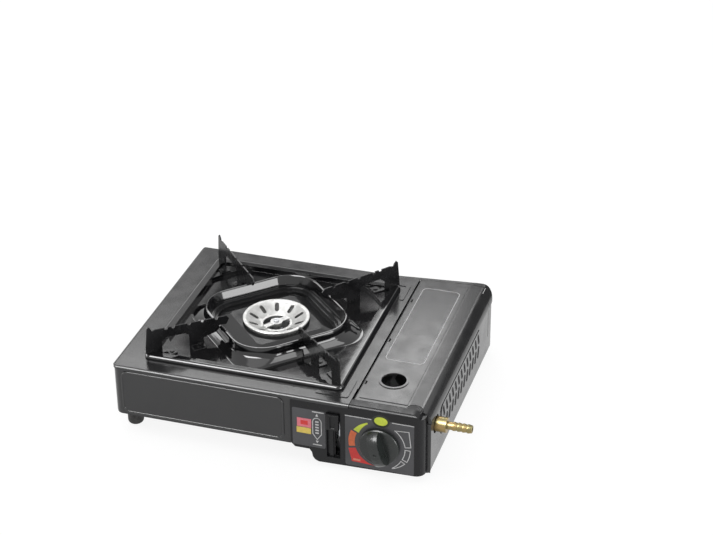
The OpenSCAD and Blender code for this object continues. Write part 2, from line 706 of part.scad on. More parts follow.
module lid_shell() difference() {
    intersection() {
        upper_form(0);
        along_z(lid_skirt_z, top_z + over) polygon(lid_plan(0));
        block([hinge_x, 0, lid_skirt_z], [case_w + over, case_d, top_z + over]);
    }
    // the hollow leaves a flange across the front end
    intersection() {
        upper_form(sheet);
        block([hinge_x - over, lid_front + sheet, 0], [case_w, case_d, top_z]);
    }
    along_y(lid_front - over, lid_front + 2 * over) polygon(top_section(lid_flange));
}

module cartridge_lid() color([0.12, 0.12, 0.125]) at_corner() difference() {
    union() {
        lid_shell();
        // raised field for a label, and the ring around the hole
        along_z(top_z - sheet / 2, top_z + 0.6) polygon([
            [seam_x + 6, lid_front + 4.5], [crease_x - 2, lid_front + 4.5],
            [crease_x - 2, rear_y(crease_x) - lid_rear - 4],
                [seam_x + 6, rear_y(seam_x) - lid_rear - 4]]);
        along_z(top_z - sheet / 2, top_z + 1.4) disc([lid_hole_x, lid_hole_y], lid_hole_r + 2.5);
        along_y(lid_front + 0.2, rear_y(hinge_x) - lid_rear - 0.2) disc([hinge_x, hinge_z], knuckle_r);
    }
    along_z(top_z - 9, top_z + 2 * over) disc([lid_hole_x, lid_hole_y], lid_hole_r);
    along_z(top_z - 20, top_z + over) disc(bump_at, bump_r + seam_gap / 2);
    along_y(0, case_d) disc([hinge_x, hinge_z], hinge_pin_r + running);
    for (y = ear_ys) block([hinge_x - 5, y - ear_w / 2 - clear, top_z - 9],
        [hinge_x + knuckle_r + clear, y + ear_w / 2 + clear, top_z + over]);
}

pin_front_y = lid_front + 4;
pin_rear_y = rear_y(hinge_x) - lid_rear - 4;

module hinge_pin() color([0.75, 0.75, 0.77]) at_corner()
    along_y(pin_front_y, pin_rear_y) disc([hinge_x, hinge_z], hinge_pin_r);

module hinge_ears() color([0.55, 0.56, 0.58]) at_corner() for (y = ear_ys)
    along_y(y - ear_w / 2, y + ear_w / 2) difference() {
        union() {
            disc([hinge_x, hinge_z], knuckle_r);
            polygon([[bay_x, hinge_z - 22], [bay_x + 1, hinge_z - 22], [bay_x + 1, hinge_z - 6],
                [hinge_x + 0.5, hinge_z - 1], [hinge_x - knuckle_r + 0.1, hinge_z],
                [bay_x, hinge_z - 5]]);
        }
        disc([hinge_x, hinge_z], hinge_pin_r + 0.02);
    }

// ---------------------------------------------------------------- pan support

module tray_prism(half, r, z0, z1) on_tray() along_z(z0, z1) polygon(round_square(half, r));
module ring_prism(half, r, z0, z1) on_tray() rotate([0, 0, 45]) along_z(z0, z1)
    polygon(round_square(half, r, 12));

tray_skirt_z = top_z + seat_lift;
rivet_r = 1.25;
fin_foot_w = 11;
inner_foot = [86, 100];
outer_foot = [119, 128];

module tray_rivet_holes() on_tray() for (turn = [45:90:315], s = [inner_foot, outer_foot])
    rotate([0, 0, turn]) along_z(0, rim_z) disc([(s[0] + s[1]) / 2, 6], rivet_r + 0.05);

module drip_tray() color([0.03, 0.03, 0.032]) at_corner() difference() {
    union() {
        tray_prism(tray_hw, tray_corner_r, tray_skirt_z, rim_z);
        tray_prism(basin_hw, tray_corner_r, tray_floor_z, rim_z);
        ring_prism(ring_hw, ring_r, tray_floor_z, ring_z);
    }
    difference() {
        tray_prism(tray_hw - sheet, tray_corner_r - sheet, tray_skirt_z - over, rim_z - sheet);
        tray_prism(basin_hw, tray_corner_r, 0, rim_z);
    }
    difference() {
        tray_prism(basin_hw - sheet, tray_corner_r - sheet, tray_top_z, rim_z + over);
        ring_prism(ring_hw, ring_r, 0, ring_z);
        on_tray() difference() {
            along_z(0, land_z) polygon(round_square(basin_hw, tray_corner_r));
            along_z(0, rim_z) circle(r = land_r, $fn = 96);
        }
    }
    on_tray() difference() {
        along_z(0, land_z - sheet) polygon(round_square(basin_hw - sheet, tray_corner_r - sheet));
        along_z(-over, rim_z) circle(r = land_r + sheet, $fn = 96);
    }
    ring_prism(ring_hw - ring_t, ring_r - ring_t, 0, ring_z + over);
    difference() {
        ring_prism(ring_hw - sheet, ring_r - sheet, 0, ring_z - sheet);
        ring_prism(ring_hw - ring_t + sheet, ring_r - ring_t + sheet, -over, ring_z);
    }
    tray_rivet_holes();
}

// A fin stands on its edge; s runs out from the tray's centre along the diagonal
fin_end = tray_hw * sqrt(2) - tray_corner_r * (sqrt(2) - 1);
// inside of the tray's corner
fin_wall = (basin_hw - sheet) * sqrt(2) - (tray_corner_r - sheet) * (sqrt(2) - 1);
notch_w = 3;

module fin_profile() difference() {
    polygon([
        [fin_end - 0.3, rim_z], [fin_end - 1, rim_z + 11], [fin_end - 2.6, fin_top_z - 2],
            [fin_end - 4.6, fin_top_z],
        [fin_end - 7, fin_top_z - 2.5], [fin_end - 8.5, fin_top_z - 6], [fin_end - 12.5, fin_top_z - 5],
        [ring_hw - 8, fin_top_z - 11], [ring_hw - 11, fin_top_z - 15], [ring_hw - 8, ring_z + 0.6],
        [ring_hw + 0.6, ring_z - 2.6], [ring_hw + 4, ring_z - 6], [85, ring_z - 9],
        [85, tray_top_z], [101, tray_top_z], [101, fin_top_z - 22], [106, fin_top_z - 19],
        [126, fin_top_z - 17.5], [132, fin_top_z - 22], [132, land_z], [fin_wall - clear, land_z],
        [fin_wall - clear, rim_z]]);
    // clearance over the edge of the wind ring
    translate([ring_hw - ring_t - 0.7, ring_z - 10]) square([ring_t + 1.3, 10.4]);
    // small notches that keep a pan from sliding
    for (s = [69, 85, 100, 118, 126])
        translate([s, fin_top_z - 11 + (s - ring_hw + 8) * 6 / 80]) rotate(28)
            square([notch_w, 5], center = true);
}

module pan_fin(turn) color([0.05, 0.05, 0.055]) at_corner() on_tray() rotate([0, 0, turn]) difference() {
    union() {
        along_y(-fin_t / 2, fin_t / 2) fin_profile();
        block([inner_foot[0], 0, tray_top_z], [inner_foot[1], fin_foot_w, tray_top_z + fin_t]);
        block([outer_foot[0], 0, land_z], [outer_foot[1], fin_foot_w, land_z + fin_t]);
        block([outer_foot[0], 0, land_z], [fin_wall - 4, 4, land_z + fin_t]);
    }
    for (s = [inner_foot, outer_foot]) along_z(0, rim_z + 10)
        disc([(s[0] + s[1]) / 2, 6], rivet_r + 0.05);
}

module fin_front_left() pan_fin(225);
module fin_front_right() pan_fin(315);
module fin_rear_right() pan_fin(45);
module fin_rear_left() pan_fin(135);

module fin_rivets() color([0.3, 0.3, 0.31]) at_corner() on_tray() for (turn = [45:90:315])
    rotate([0, 0, turn]) {
    rivet([(inner_foot[0] + inner_foot[1]) / 2, 6], tray_top_z + fin_t, fin_t + sheet + 0.6);
    rivet([(outer_foot[0] + outer_foot[1]) / 2, 6], land_z + fin_t, fin_t + sheet + 0.6);
}

// ---------------------------------------------------------------- burner

module burner_head() color([0.85, 0.85, 0.84]) at_corner() on_tray() difference() {
    rotate_extrude($fn = 96) polygon([
        [burner_wall_r - burner_wall, head_low_z], [burner_wall_r, head_low_z],
            [burner_wall_r, burner_z - 2.2],
        [burner_r, burner_z - 1.2], [burner_r, burner_z - 0.4], [burner_r - 0.5, burner_z],
        [burner_r - 3.6, burner_z], [burner_r - 4.4, burner_z - 0.8],
        [bowl_floor_r, bowl_floor_z + 1.2], [bowl_hole_r, bowl_floor_z + 1.2],
            [bowl_hole_r, bowl_floor_z],
        [bowl_floor_r + 0.6, bowl_floor_z], [burner_wall_r - burner_wall, burner_z - 2]]);
    for (k = [0:flame_slots - 1]) rotate([0, 0, k * 360 / flame_slots])
        along_z(bowl_floor_z, burner_z) round_box([flame_slot_in, -flame_slot_w / 2],
            [burner_wall_r - burner_wall - 1.4, flame_slot_w / 2], flame_slot_w / 2 - 0.05);
}

module burner_base() color([0.7, 0.7, 0.7]) at_corner() difference() {
    on_tray() {
        difference() {
            along_z(base_floor_z, head_low_z) circle(r = burner_wall_r);
            along_z(base_floor_z + base_wall, head_low_z + over) circle(r = burner_wall_r - burner_wall);
        }
        along_z(base_floor_z, bowl_floor_z - 1) circle(r = 5);
    }
    along_mix() cylinder(r = mix_r + 0.02, h = 60);
    on_tray() along_z(bowl_floor_z - 9, bowl_floor_z) circle(r = small_screw_r + 0.05);
    for (s = [-1, 1]) along_z(0, base_floor_z + 5) disc([tray_x, tray_y + s * 18], small_screw_r + 0.05);
}

hub_z = bowl_floor_z + 1.2;
hub_turn = 56;
hub_reach = bowl_floor_r - 1;
module burner_hub() color([0.8, 0.8, 0.79]) at_corner() on_tray() difference() {
    union() {
        along_z(bowl_floor_z - 1, hub_z + 2) circle(r = 6.5);
        rotate([0, 0, hub_turn]) block([-hub_reach, -3.2, hub_z], [hub_reach, 3.2, hub_z + 1.4]);
    }
    along_z(0, burner_z) circle(r = small_screw_r + 0.05);
}

module hub_screw() color([0.72, 0.72, 0.73]) at_corner() on_tray() difference() {
    rivet([0, 0], hub_z + 2, 10, 3, 1.6, small_screw_r);
    block([-4, -0.4, hub_z + 2.8], [4, 0.4, hub_z + 5]);
}

module mixing_tube() color([0.66, 0.66, 0.67]) at_corner() along_mix() difference() {
    union() {
        translate([0, 0, burner_wall_r - burner_wall - 2])
            cylinder(r = mix_r, h = mix_reach - burner_wall_r + burner_wall + 2);
        translate([0, 0, mix_reach - 5]) cylinder(r = mix_r + 1, h = 5);
    }
    cylinder(r = mix_r - mix_wall, h = mix_reach + over);
}

module tube_saddle() color([0.55, 0.56, 0.58]) at_corner() difference() {
    translate([saddle_x, saddle_y, 0]) rotate([0, 0, -mix_turn])
        block([-bracket_t / 2, -saddle_half, pan_inside_z], [bracket_t / 2, saddle_half, mix_z + 2]);
    along_mix() cylinder(r = mix_r + 0.02, h = mix_reach);
}

stand_half_w = 10;
stand_half_len = stand_foot - 6;
module burner_stand() color([0.55, 0.56, 0.58]) at_corner() difference() {
    translate([tray_x, tray_y, 0]) union() {
        block([-stand_half_w, -stand_half_len, base_floor_z - bracket_t],
            [stand_half_w, stand_half_len, base_floor_z]);
        for (s = [0, 1]) mirror([0, s, 0]) {
            block([-stand_half_w, stand_half_len - bracket_t, pan_inside_z],
                [stand_half_w, stand_half_len, base_floor_z]);
            block([-stand_half_w, stand_half_len - bracket_t, pan_inside_z],
                [stand_half_w, stand_foot + 6, pan_inside_z + bracket_t]);
        }
    }
    for (s = [-1, 1]) along_z(0, base_floor_z + over)
        disc([tray_x, tray_y + s * 18], small_screw_r + 0.05);
    floor_rivet_holes();
}

module burner_screws() color([0.72, 0.72, 0.73]) at_corner() for (s = [-1, 1]) {
    along_z(base_floor_z - bracket_t - 2, base_floor_z - bracket_t) disc([tray_x, tray_y + s * 18], 3);
    along_z(base_floor_z - bracket_t, base_floor_z + 4) disc([tray_x, tray_y + s * 18], small_screw_r);
}

// ---------------------------------------------------------------- gas path

gas_out_z = reg_low_z + 30;

module gas_jet() color([0.78, 0.62, 0.3]) at_corner() along_mix() difference() {
    union() {
        translate([0, 0, jet_start]) cylinder(r = jet_r - 1.5, h = 4);
        translate([0, 0, jet_start + 4]) cylinder(r = jet_r, h = jet_end - jet_start - 4 - jet_r);
    }
    translate([0, 0, jet_start - over]) cylinder(r = 0.5, h = 20);
}

module gas_tube() color([0.8, 0.72, 0.6]) at_corner() {
    along_x(jet_x, reg_left_x) disc([jet_y, gas_out_z], tube_r);
    translate([jet_x, jet_y, gas_out_z]) sphere(r = tube_r);
    along_z(gas_out_z, mix_z) disc([jet_x, jet_y], tube_r);
    along_mix() translate([0, 0, jet_end]) sphere(r = jet_r);
}

module regulator_body() color([0.6, 0.6, 0.61]) at_corner() difference() {
    union() {
        block([reg_left_x, reg_front_y, reg_low_z], [reg_right_x, reg_back_y, reg_top_z]);
        along_y(behind_bulkhead, reg_front_y) disc([knob_x, knob_z], 9);
        for (p = reg_screw_places) along_y(behind_bulkhead, reg_front_y) disc(p, 4);
        along_y(reg_back_y, reg_back_y + 8) disc([cartridge_x, cartridge_z], 10);
        along_x(reg_right_x, case_w - 15) disc([nozzle_y, nozzle_z], 8);
    }
    along_y(behind_bulkhead - over, spindle_end_y + 0.5) disc([knob_x, knob_z], spindle_r + running);
    for (p = reg_screw_places) along_y(0, reg_front_y + 3) disc(p, small_screw_r + 0.05);
    along_y(reg_back_y, reg_back_y + 8 + over) disc([cartridge_x, cartridge_z], 5.02);
    along_x(case_w - 26, case_w) disc([nozzle_y, nozzle_z], 4.52);
    for (p = cover_screw_places) along_z(reg_top_z - 4, reg_top_z + over) disc(p, 1.05);
}

cover_at = [knob_x - 3, reg_front_y + 16];
cover_r = 15;
cover_screw_places = [for (turn = [45:90:315]) cover_at + 12 * [cos(turn), sin(turn)]];

module diaphragm_cover() color([0.68, 0.69, 0.7]) at_corner() difference() {
    union() {
        along_z(reg_top_z, reg_top_z + 3) disc(cover_at, cover_r);
        along_z(reg_top_z, reg_top_z + 9) disc(cover_at, 8);
    }
    for (p = cover_screw_places) along_z(0, top_z) disc(p, 1.05);
}

module cover_screws() color([0.72, 0.72, 0.73]) at_corner() for (p = cover_screw_places)
    rivet(p, reg_top_z + 3, 6, 2, 1.2, 1);

module regulator_screws() color([0.72, 0.72, 0.73]) at_corner() for (p = reg_screw_places) {
    along_y(bulkhead_y - 2, bulkhead_y) disc(p, 3);
    along_y(bulkhead_y, reg_front_y + 2) disc(p, small_screw_r);
}

module cartridge_inlet() color([0.78, 0.62, 0.3]) at_corner() difference() {
    union() {
        along_y(reg_back_y + 2, reg_back_y + 14) disc([cartridge_x, cartridge_z], 5);
        along_y(reg_back_y + 8, reg_back_y + 10) disc([cartridge_x, cartridge_z], 8);
    }
    along_y(reg_back_y, reg_back_y + 16) disc([cartridge_x, cartridge_z], 1.5);
}

module inlet_seal() color([0.1, 0.1, 0.1]) at_corner() along_y(reg_back_y + 10, reg_back_y + 12)
    difference() {
    disc([cartridge_x, cartridge_z], 7.5);
    disc([cartridge_x, cartridge_z], 5.02);
}

// The nozzle: thread, hexagonal shoulder, round collar and four barbs that fall towards the end
barb_count = 4;
barb_len = 5;
nozzle_end_x = case_w + nozzle_reach;
barbs_x = nozzle_end_x - barb_count * barb_len;

module barb_outline() {
    for (k = [0:barb_count - 1]) {
        x0 = barbs_x + k * barb_len;
        polygon([[x0, 0], [x0, nozzle_r], [x0 + 1.4, nozzle_r], [x0 + barb_len, nozzle_r - 0.8],
            [x0 + barb_len, 0]]);
    }
}

module hose_nozzle() color([0.8, 0.66, 0.33]) at_corner() difference() {
    union() {
        along_x(case_w - 24, case_w - 6) disc([nozzle_y, nozzle_z], 4.5);
        along_x(case_w - 6, case_w + 11) disc([nozzle_y, nozzle_z], shoulder_r);
        along_x(case_w + 11, barbs_x + 0.2) disc([nozzle_y, nozzle_z], nozzle_r - 0.6);
        translate([0, nozzle_y, nozzle_z]) rotate([0, 90, 0]) rotate_extrude() rotate(90)
            mirror([0, 1]) barb_outline();
    }
    along_x(case_w - 25, nozzle_end_x + over) disc([nozzle_y, nozzle_z], 2.4);
}

module nozzle_nut() color([0.72, 0.62, 0.38]) at_corner() along_x(case_w - 14.8, case_w - 8)
    difference() {
    hexagon([nozzle_y, nozzle_z], 9);
    disc([nozzle_y, nozzle_z], 4.52);
}

// ---------------------------------------------------------------- knob, spindle and igniter

module at_knob() translate([knob_x, 0, knob_z]) rotate([90, 0, 0]) children();

// A low disc with a drafted grip across it; the grip's ends fall away to the rim
module knob() color([0.05, 0.06, 0.06]) at_corner() at_knob() difference() {
    union() {
        rotate_extrude() polygon([[0, knob_gap], [knob_r - 0.4, knob_gap], [knob_r, knob_gap + 0.4],
            [knob_r, knob_gap + knob_disc - 1.4], [knob_r - 1, knob_gap + knob_disc - 0.3],
            [knob_r - 2, knob_gap + knob_disc], [0, knob_gap + knob_disc]]);
        intersection() {
            rotate_extrude() polygon([[0, knob_gap + 1], [knob_r - 0.8, knob_gap + 1],
                [knob_r - 0.8, knob_gap + knob_disc],
                [knob_r - 1.6, knob_gap + knob_disc + 3.2], [knob_r - 3.6, knob_reach - 5.8],
                    [knob_r - 6.4, knob_reach - 3.2],
                [knob_r - 10.4, knob_reach - 1.2], [knob_r - 15, knob_reach - 0.2], [0, knob_reach]]);
            rotate([0, 0, knob_lean]) rotate([90, 0, 0]) linear_extrude(3 * knob_r, center = true)
                polygon([[-grip_w / 2, knob_gap + 1], [grip_w / 2, knob_gap + 1],
                    [grip_w / 2 - 1.3, knob_reach + over],
                    [1.3 - grip_w / 2, knob_reach + over]]);
        }
    }
    translate([0, 0, -over]) cylinder(r = spindle_r + 0.02, h = spindle_head + over);
    translate([0, 0, knob_reach - 1]) cylinder(r = 1.5, h = 3);
}

module valve_spindle() color([0.78, 0.62, 0.3]) at_corner()
    along_y(0.5 - spindle_head, spindle_end_y) disc([knob_x, knob_z], spindle_r);

// The cam's radius grows evenly with the turn, from the face that meets the plunger onwards
cam_steps = 24;
cam_low_r = cam_r - 2;
module igniter_cam() color([0.75, 0.74, 0.7]) at_corner() along_y(cam_y, cam_y + cam_t)
    translate([knob_x, knob_z]) difference() {
    polygon(concat(
        [for (k = [0:cam_steps])
            let (t = k / cam_steps) (cam_r + t * cam_rise) * unit([cos(180 - t * knob_turn),
            sin(180 - t * knob_turn)])],
        arc([0, 0], cam_low_r, 178 - knob_turn, -160, 30), [cam_r * [cos(192), sin(192)]]));
    circle(r = spindle_r + 0.02);
}

module piezo_igniter() color([0.1, 0.1, 0.11]) at_corner() difference() {
    block([igniter_left_x, bezel_wall + 1, knob_z - 7], [igniter_right_x, bulkhead_y, knob_z + 7]);
    along_x(igniter_left_x + 4, igniter_right_x + over)
        disc([cam_y + cam_t / 2, knob_z], plunger_r + running);
}

module igniter_plunger() color([0.85, 0.2, 0.15]) at_corner() {
    nose_x = knob_x - cam_r - clear - plunger_r;
    along_x(nose_x + plunger_r - 16, nose_x) disc([cam_y + cam_t / 2, knob_z], plunger_r);
    translate([nose_x, cam_y + cam_t / 2, knob_z]) sphere(r = plunger_r);
}

// Route of the high-tension lead, from the igniter to the electrode
lead_r = 1.2;
lead_route = [
    [igniter_left_x, 8, 36.5], [igniter_left_x - 1.2, 8, 36.5], [lead_hole.x, 10.5, 35.2],
        [lead_hole.x, 20, 33.6],
    [lever_x + 8, 32, 33], [lever_x + 7, 46, 32], [lever_x - 7, 62, 32], [lever_x - 31, 80, 34],
    [tray_x + 59, tray_y - 30, 36], [tray_x + 49, tray_y - 8, 38], [tray_x + 41, tray_y + 10, 44],
    [electrode_x + 1, electrode_y, electrode_low_z - 8], [electrode_x, electrode_y, electrode_low_z - 4],
    [electrode_x, electrode_y, electrode_low_z]];

function unit(v) = v / norm(v);
function mix(a, b, t) = a * (1 - t) + b * t;
function route_dir(p, k) = unit(p[min(k + 1, len(p) - 1)] - p[max(k - 1, 0)]);
function smooth_route(p) = concat([p[0]],
    [for (k = [0:len(p) - 2], t = [0.25, 0.75]) mix(p[k], p[k + 1], t)], [p[len(p) - 1]]);
function ring_points(at, dir, r, n) = let (side = unit(cross(dir, [0, 0.2, 1])), up = cross(side, dir))
    [for (k = [0:n - 1]) at + r * (cos(360 * k / n) * side + sin(360 * k / n) * up)];

module swept_tube(route, r, n = 8) {
    p = smooth_route(route);
    points = [for (k = [0:len(p) - 1]) each ring_points(p[k], route_dir(p, k), r, n)];
    faces = concat(
        [[for (k = [0:n - 1]) k]],
        [for (i = [0:len(p) - 2], k = [0:n - 1]) each let (a = i * n + k, b = i * n + (k + 1) % n)
            [[a, a + n, b], [b, a + n, b + n]]],
        [[for (k = [n - 1:-1:0]) (len(p) - 1) * n + k]]);
    polyhedron(points = points, faces = faces);
}

module ignition_lead() color([0.75, 0.12, 0.1]) at_corner() swept_tube(lead_route, lead_r);

module electrode_ceramic() color([0.93, 0.92, 0.88]) at_corner() difference() {
    along_z(electrode_low_z, island_z - 7) disc([electrode_x, electrode_y], electrode_r);
    along_z(electrode_low_z + 4, top_z + 5) disc([electrode_x, electrode_y], 0.82);
}

module electrode_pin() color([0.6, 0.6, 0.6]) at_corner()
    along_z(electrode_low_z + 4, island_z - 2.5) disc([electrode_x, electrode_y], 0.8);

module electrode_bracket() color([0.55, 0.56, 0.58]) at_corner() difference() {
    block([tray_x + 4, electrode_y - 4, base_floor_z - bracket_t - 1.2],
        [electrode_x + 4.5, electrode_y + 4, base_floor_z - bracket_t]);
    along_z(0, top_z) disc([electrode_x, electrode_y], electrode_r + 0.05);
}

// ---------------------------------------------------------------- lock lever and carriage

module lever_thumb() color([0.05, 0.05, 0.055]) at_corner() {
    difference() {
        block([thumb_x, -3.6, thumb_z], [thumb_x + thumb_w, rib_front_y - clear, thumb_z + thumb_h]);
        block([thumb_x + 4, -3.6 - over, thumb_z + 2],
            [thumb_x + thumb_w - 4, -2, thumb_z + thumb_h - 2]);
    }
    block([lever_x - 2.4, 0, thumb_z + 1], [lever_x, lever_front_y + 3, thumb_z + 7.5]);
}

// The slot leans forward as it rises, so the falling lever draws the pin and its carriage to the front
module lever_slide_plate() color([0.6, 0.6, 0.62]) at_corner() along_x(lever_x, lever_x + lever_t)
    difference() {
    polygon([[lever_front_y, lever_low_z], [lever_back_y, lever_low_z], [lever_back_y, lever_low_z + 16],
        [lever_back_y - 4, lever_high_z], [lever_front_y, lever_high_z]]);
    slanted_slot([pin_y, pin_z], [pin_y - push_travel, pin_z + lever_travel], drive_pin_r + 0.1);
}

module slanted_slot(from, to, r) {
    n = 8;
    across = r * unit([to.y - from.y, from.x - to.x]);
    lean = atan2(across.y, across.x);
    polygon(concat([for (k = [0:n]) from + r * [cos(lean - 180 * k / n), sin(lean - 180 * k / n)]],
        [for (k = [0:n]) to + r * [cos(lean + 180 - 180 * k / n), sin(lean + 180 - 180 * k / n)]]));
}

module lever_guide() color([0.12, 0.12, 0.13]) at_corner()
    for (z = [[box_inside_z + 2, pin_z - 9.5], [pin_z + 8.5, top_z - 5.5]])
    difference() {
        block([lever_x - 8, behind_bulkhead, z[0]], [lever_x + lever_t + 3.2, lever_back_y + 1.5, z[1]]);
        block([lever_x - clear, behind_bulkhead - over, z[0] - over],
            [lever_x + lever_t + clear, lever_back_y + clear, z[1] + over]);
    }

module cartridge_carriage() color([0.6, 0.6, 0.62]) at_corner() difference() {
    union() {
        block([push_rod_x, behind_bulkhead + clear, push_rod_low],
            [push_rod_x + push_rod_t, push_plate_y, push_rod_low + push_rod_h]);
        block([push_rod_x, push_plate_y, push_rod_low - 20],
            [cartridge_x + 25, push_plate_y + 2, push_rod_low + 20]);
        along_y(push_plate_y - 4, push_plate_y) disc([cartridge_x, cartridge_z], 18);
    }
    along_x(push_rod_x - over, push_rod_x + push_rod_t + over) disc([pin_y, pin_z], drive_pin_r);
}

module carriage_pin() color([0.75, 0.75, 0.77]) at_corner()
    along_x(lever_x - 1.5, push_rod_x + push_rod_t) disc([pin_y, pin_z], drive_pin_r);

module rod_guides() color([0.55, 0.56, 0.58]) at_corner() difference() {
    for (y = guide_ys) {
        block([push_rod_x - 3, y, box_inside_z],
            [push_rod_x + push_rod_t + 3, y + bracket_t, push_rod_low + push_rod_h + 4]);
        block([push_rod_x - 10, y, box_inside_z],
            [push_rod_x + push_rod_t + 3, y + flange, box_inside_z + bracket_t]);
    }
    block([push_rod_x - clear, 0, push_rod_low - clear],
        [push_rod_x + push_rod_t + clear, case_d, push_rod_low + push_rod_h + clear]);
    floor_rivet_holes();
}

cradle_half = 21;
cradle_top = cartridge_z - sqrt(cartridge_r * cartridge_r - cradle_half * cradle_half) - 0.5;

module cartridge_cradle() color([0.6, 0.6, 0.62]) at_corner() difference() {
    block([cartridge_x - cradle_half - sheet, 80, box_inside_z],
        [cartridge_x + cradle_half + sheet, push_plate_y - 19, cradle_top]);
    block([cartridge_x - cradle_half, 80 - over, box_inside_z + sheet],
        [cartridge_x + cradle_half, case_d, top_z]);
    floor_rivet_holes();
}

heat_plate_y = tray_y;
heat_plate_w = 14;
heat_plate_t = 1.2;
heat_plate_z = cartridge_z - 18;
heat_pad_r = cartridge_r + 0.8;
heat_tab_x = tray_x + burner_wall_r + clear;

module heat_plate() color([0.8, 0.8, 0.81]) at_corner()
    along_y(heat_plate_y - heat_plate_w / 2, heat_plate_y + heat_plate_w / 2) {
    polygon([[heat_tab_x, heat_plate_z], [heat_tab_x + heat_plate_t, heat_plate_z],
        [heat_tab_x + heat_plate_t, head_low_z - 4], [heat_tab_x, head_low_z - 4]]);
    difference() {
        union() {
            translate([heat_tab_x, heat_plate_z])
                square([cartridge_x - heat_pad_r * 0.84 - heat_tab_x, heat_plate_t]);
            intersection() {
                disc([cartridge_x, cartridge_z], heat_pad_r + heat_plate_t);
                translate([bay_x + 2, heat_plate_z - 6]) square([18, 16]);
            }
        }
        disc([cartridge_x, cartridge_z], heat_pad_r);
    }
}

// ---------------------------------------------------------------- feet and fasteners

module bezel_screws() color([0.72, 0.72, 0.73]) at_corner() for (p = bezel_screw_places) {
    along_y(behind_bulkhead, behind_bulkhead + 2) disc(p, 3);
    along_y(bezel_wall + 2, behind_bulkhead) disc(p, small_screw_r);
}

module foot(at, r, high, bore_low) translate([at.x, at.y, 0]) difference() {
    rotate_extrude() polygon(concat([[0, 0], [r - 4, 0]], arc([r - 4, 4], 4, 280, 360),
        [[r, high - 1], [r - 0.6, high], [0, high]]));
    along_z(bore_low, high + over) circle(r = foot_screw_r + 0.05);
}

module tall_feet() color([0.08, 0.08, 0.08]) at_corner() for (p = tall_foot_places)
    foot(p, tall_foot_r, pan_floor_z, 13);
module short_feet() color([0.08, 0.08, 0.08]) at_corner() for (p = short_foot_places)
    foot(p, short_foot_r, box_floor_z, 1.8);

module foot_screws() color([0.72, 0.72, 0.73]) at_corner() {
    for (p = tall_foot_places) rivet(p, pan_inside_z, 10, 3, 1.8, foot_screw_r);
    for (p = short_foot_places) rivet(p, box_inside_z, 5, 3, 1.8, foot_screw_r);
}

module floor_rivets() color([0.6, 0.6, 0.62]) at_corner() for (r = floor_rivet_list())
    rivet(r[0], r[1], r[2] + 0.4, 2.5, 1, floor_rivet_r);

lower_case();
top_panel();
heat_shield();
front_bulkhead();
control_bezel();
lever_plate_label();
dial_plate();
hinge_pin();
hinge_ears();
cartridge_lid();
drip_tray();
fin_front_left();
fin_front_right();
fin_rear_right();
fin_rear_left();
fin_rivets();
burner_head();
burner_base();
burner_hub();
hub_screw();
mixing_tube();
tube_saddle();
burner_stand();
burner_screws();
gas_jet();
gas_tube();
regulator_body();
diaphragm_cover();
cover_screws();
regulator_screws();
cartridge_inlet();
inlet_seal();
hose_nozzle();
nozzle_nut();
knob();
valve_spindle();
igniter_cam();
piezo_igniter();
igniter_plunger();
ignition_lead();
electrode_ceramic();
electrode_pin();
electrode_bracket();
lever_thumb();
lever_slide_plate();
lever_guide();
cartridge_carriage();
carriage_pin();
rod_guides();
cartridge_cradle();
heat_plate();
bezel_screws();
tall_feet();
short_feet();
foot_screws();
floor_rivets();
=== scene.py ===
# %% [markdown]
# # A butane cassette stove
#
# This notebook dresses a table-top gas stove. The CAD model already holds every piece at its real size:
# the pressed case, the lid over the cartridge bay, the drip tray with its four pan fins, the burner, the
# knob and the lever. Blender's work here is the finish: rounded sheet edges, enamel, powder coat,
# moulded plastic, printed marks, cast aluminium and turned brass. Nothing is moved or resized.

# %% Load the frame
import json
import math

import bmesh
import bpy
from mathutils import Matrix, Vector

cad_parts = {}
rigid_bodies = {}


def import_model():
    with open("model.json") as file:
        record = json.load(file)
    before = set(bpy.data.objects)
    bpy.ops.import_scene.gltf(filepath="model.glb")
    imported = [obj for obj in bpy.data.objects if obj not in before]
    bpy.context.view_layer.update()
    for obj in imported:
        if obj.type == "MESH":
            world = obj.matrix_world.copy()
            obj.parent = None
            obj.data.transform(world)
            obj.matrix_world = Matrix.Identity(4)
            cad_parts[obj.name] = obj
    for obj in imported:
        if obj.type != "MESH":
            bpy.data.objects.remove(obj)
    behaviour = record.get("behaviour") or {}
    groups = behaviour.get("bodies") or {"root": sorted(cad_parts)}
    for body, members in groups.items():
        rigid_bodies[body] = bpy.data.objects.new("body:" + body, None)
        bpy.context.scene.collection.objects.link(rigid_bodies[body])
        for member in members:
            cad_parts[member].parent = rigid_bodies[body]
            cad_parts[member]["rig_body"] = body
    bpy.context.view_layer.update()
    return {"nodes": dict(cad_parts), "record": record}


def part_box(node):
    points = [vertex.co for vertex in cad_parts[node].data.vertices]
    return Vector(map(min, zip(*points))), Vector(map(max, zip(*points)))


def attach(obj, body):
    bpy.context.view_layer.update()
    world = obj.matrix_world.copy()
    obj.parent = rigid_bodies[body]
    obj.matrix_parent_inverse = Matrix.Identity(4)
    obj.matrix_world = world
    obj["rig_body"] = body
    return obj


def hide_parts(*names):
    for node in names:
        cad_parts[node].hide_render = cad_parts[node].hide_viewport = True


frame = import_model()
nodes = frame["nodes"]
MM = 0.001
print("pieces in the frame:", len(nodes))

# %% [markdown]
# ## Where things are
#
# The stove was drawn from one corner of its case: left side, front face, table top, in millimetres.
# The top panel starts exactly at that corner, so its box gives the corner's place in the frame. Every
# size below is read from the CAD pieces or counted in millimetres from the corner, with `at`.

# %% Places
panel_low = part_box("top_panel")[0]
corner = Vector((panel_low.x, panel_low.y, 0.0))


def at(x, y, z):
    """A place in the frame, from millimetres right of, behind and above the case's corner."""
    return corner + Vector((x, y, z)) * MM


def body_of(node):
    return nodes[node]["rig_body"]


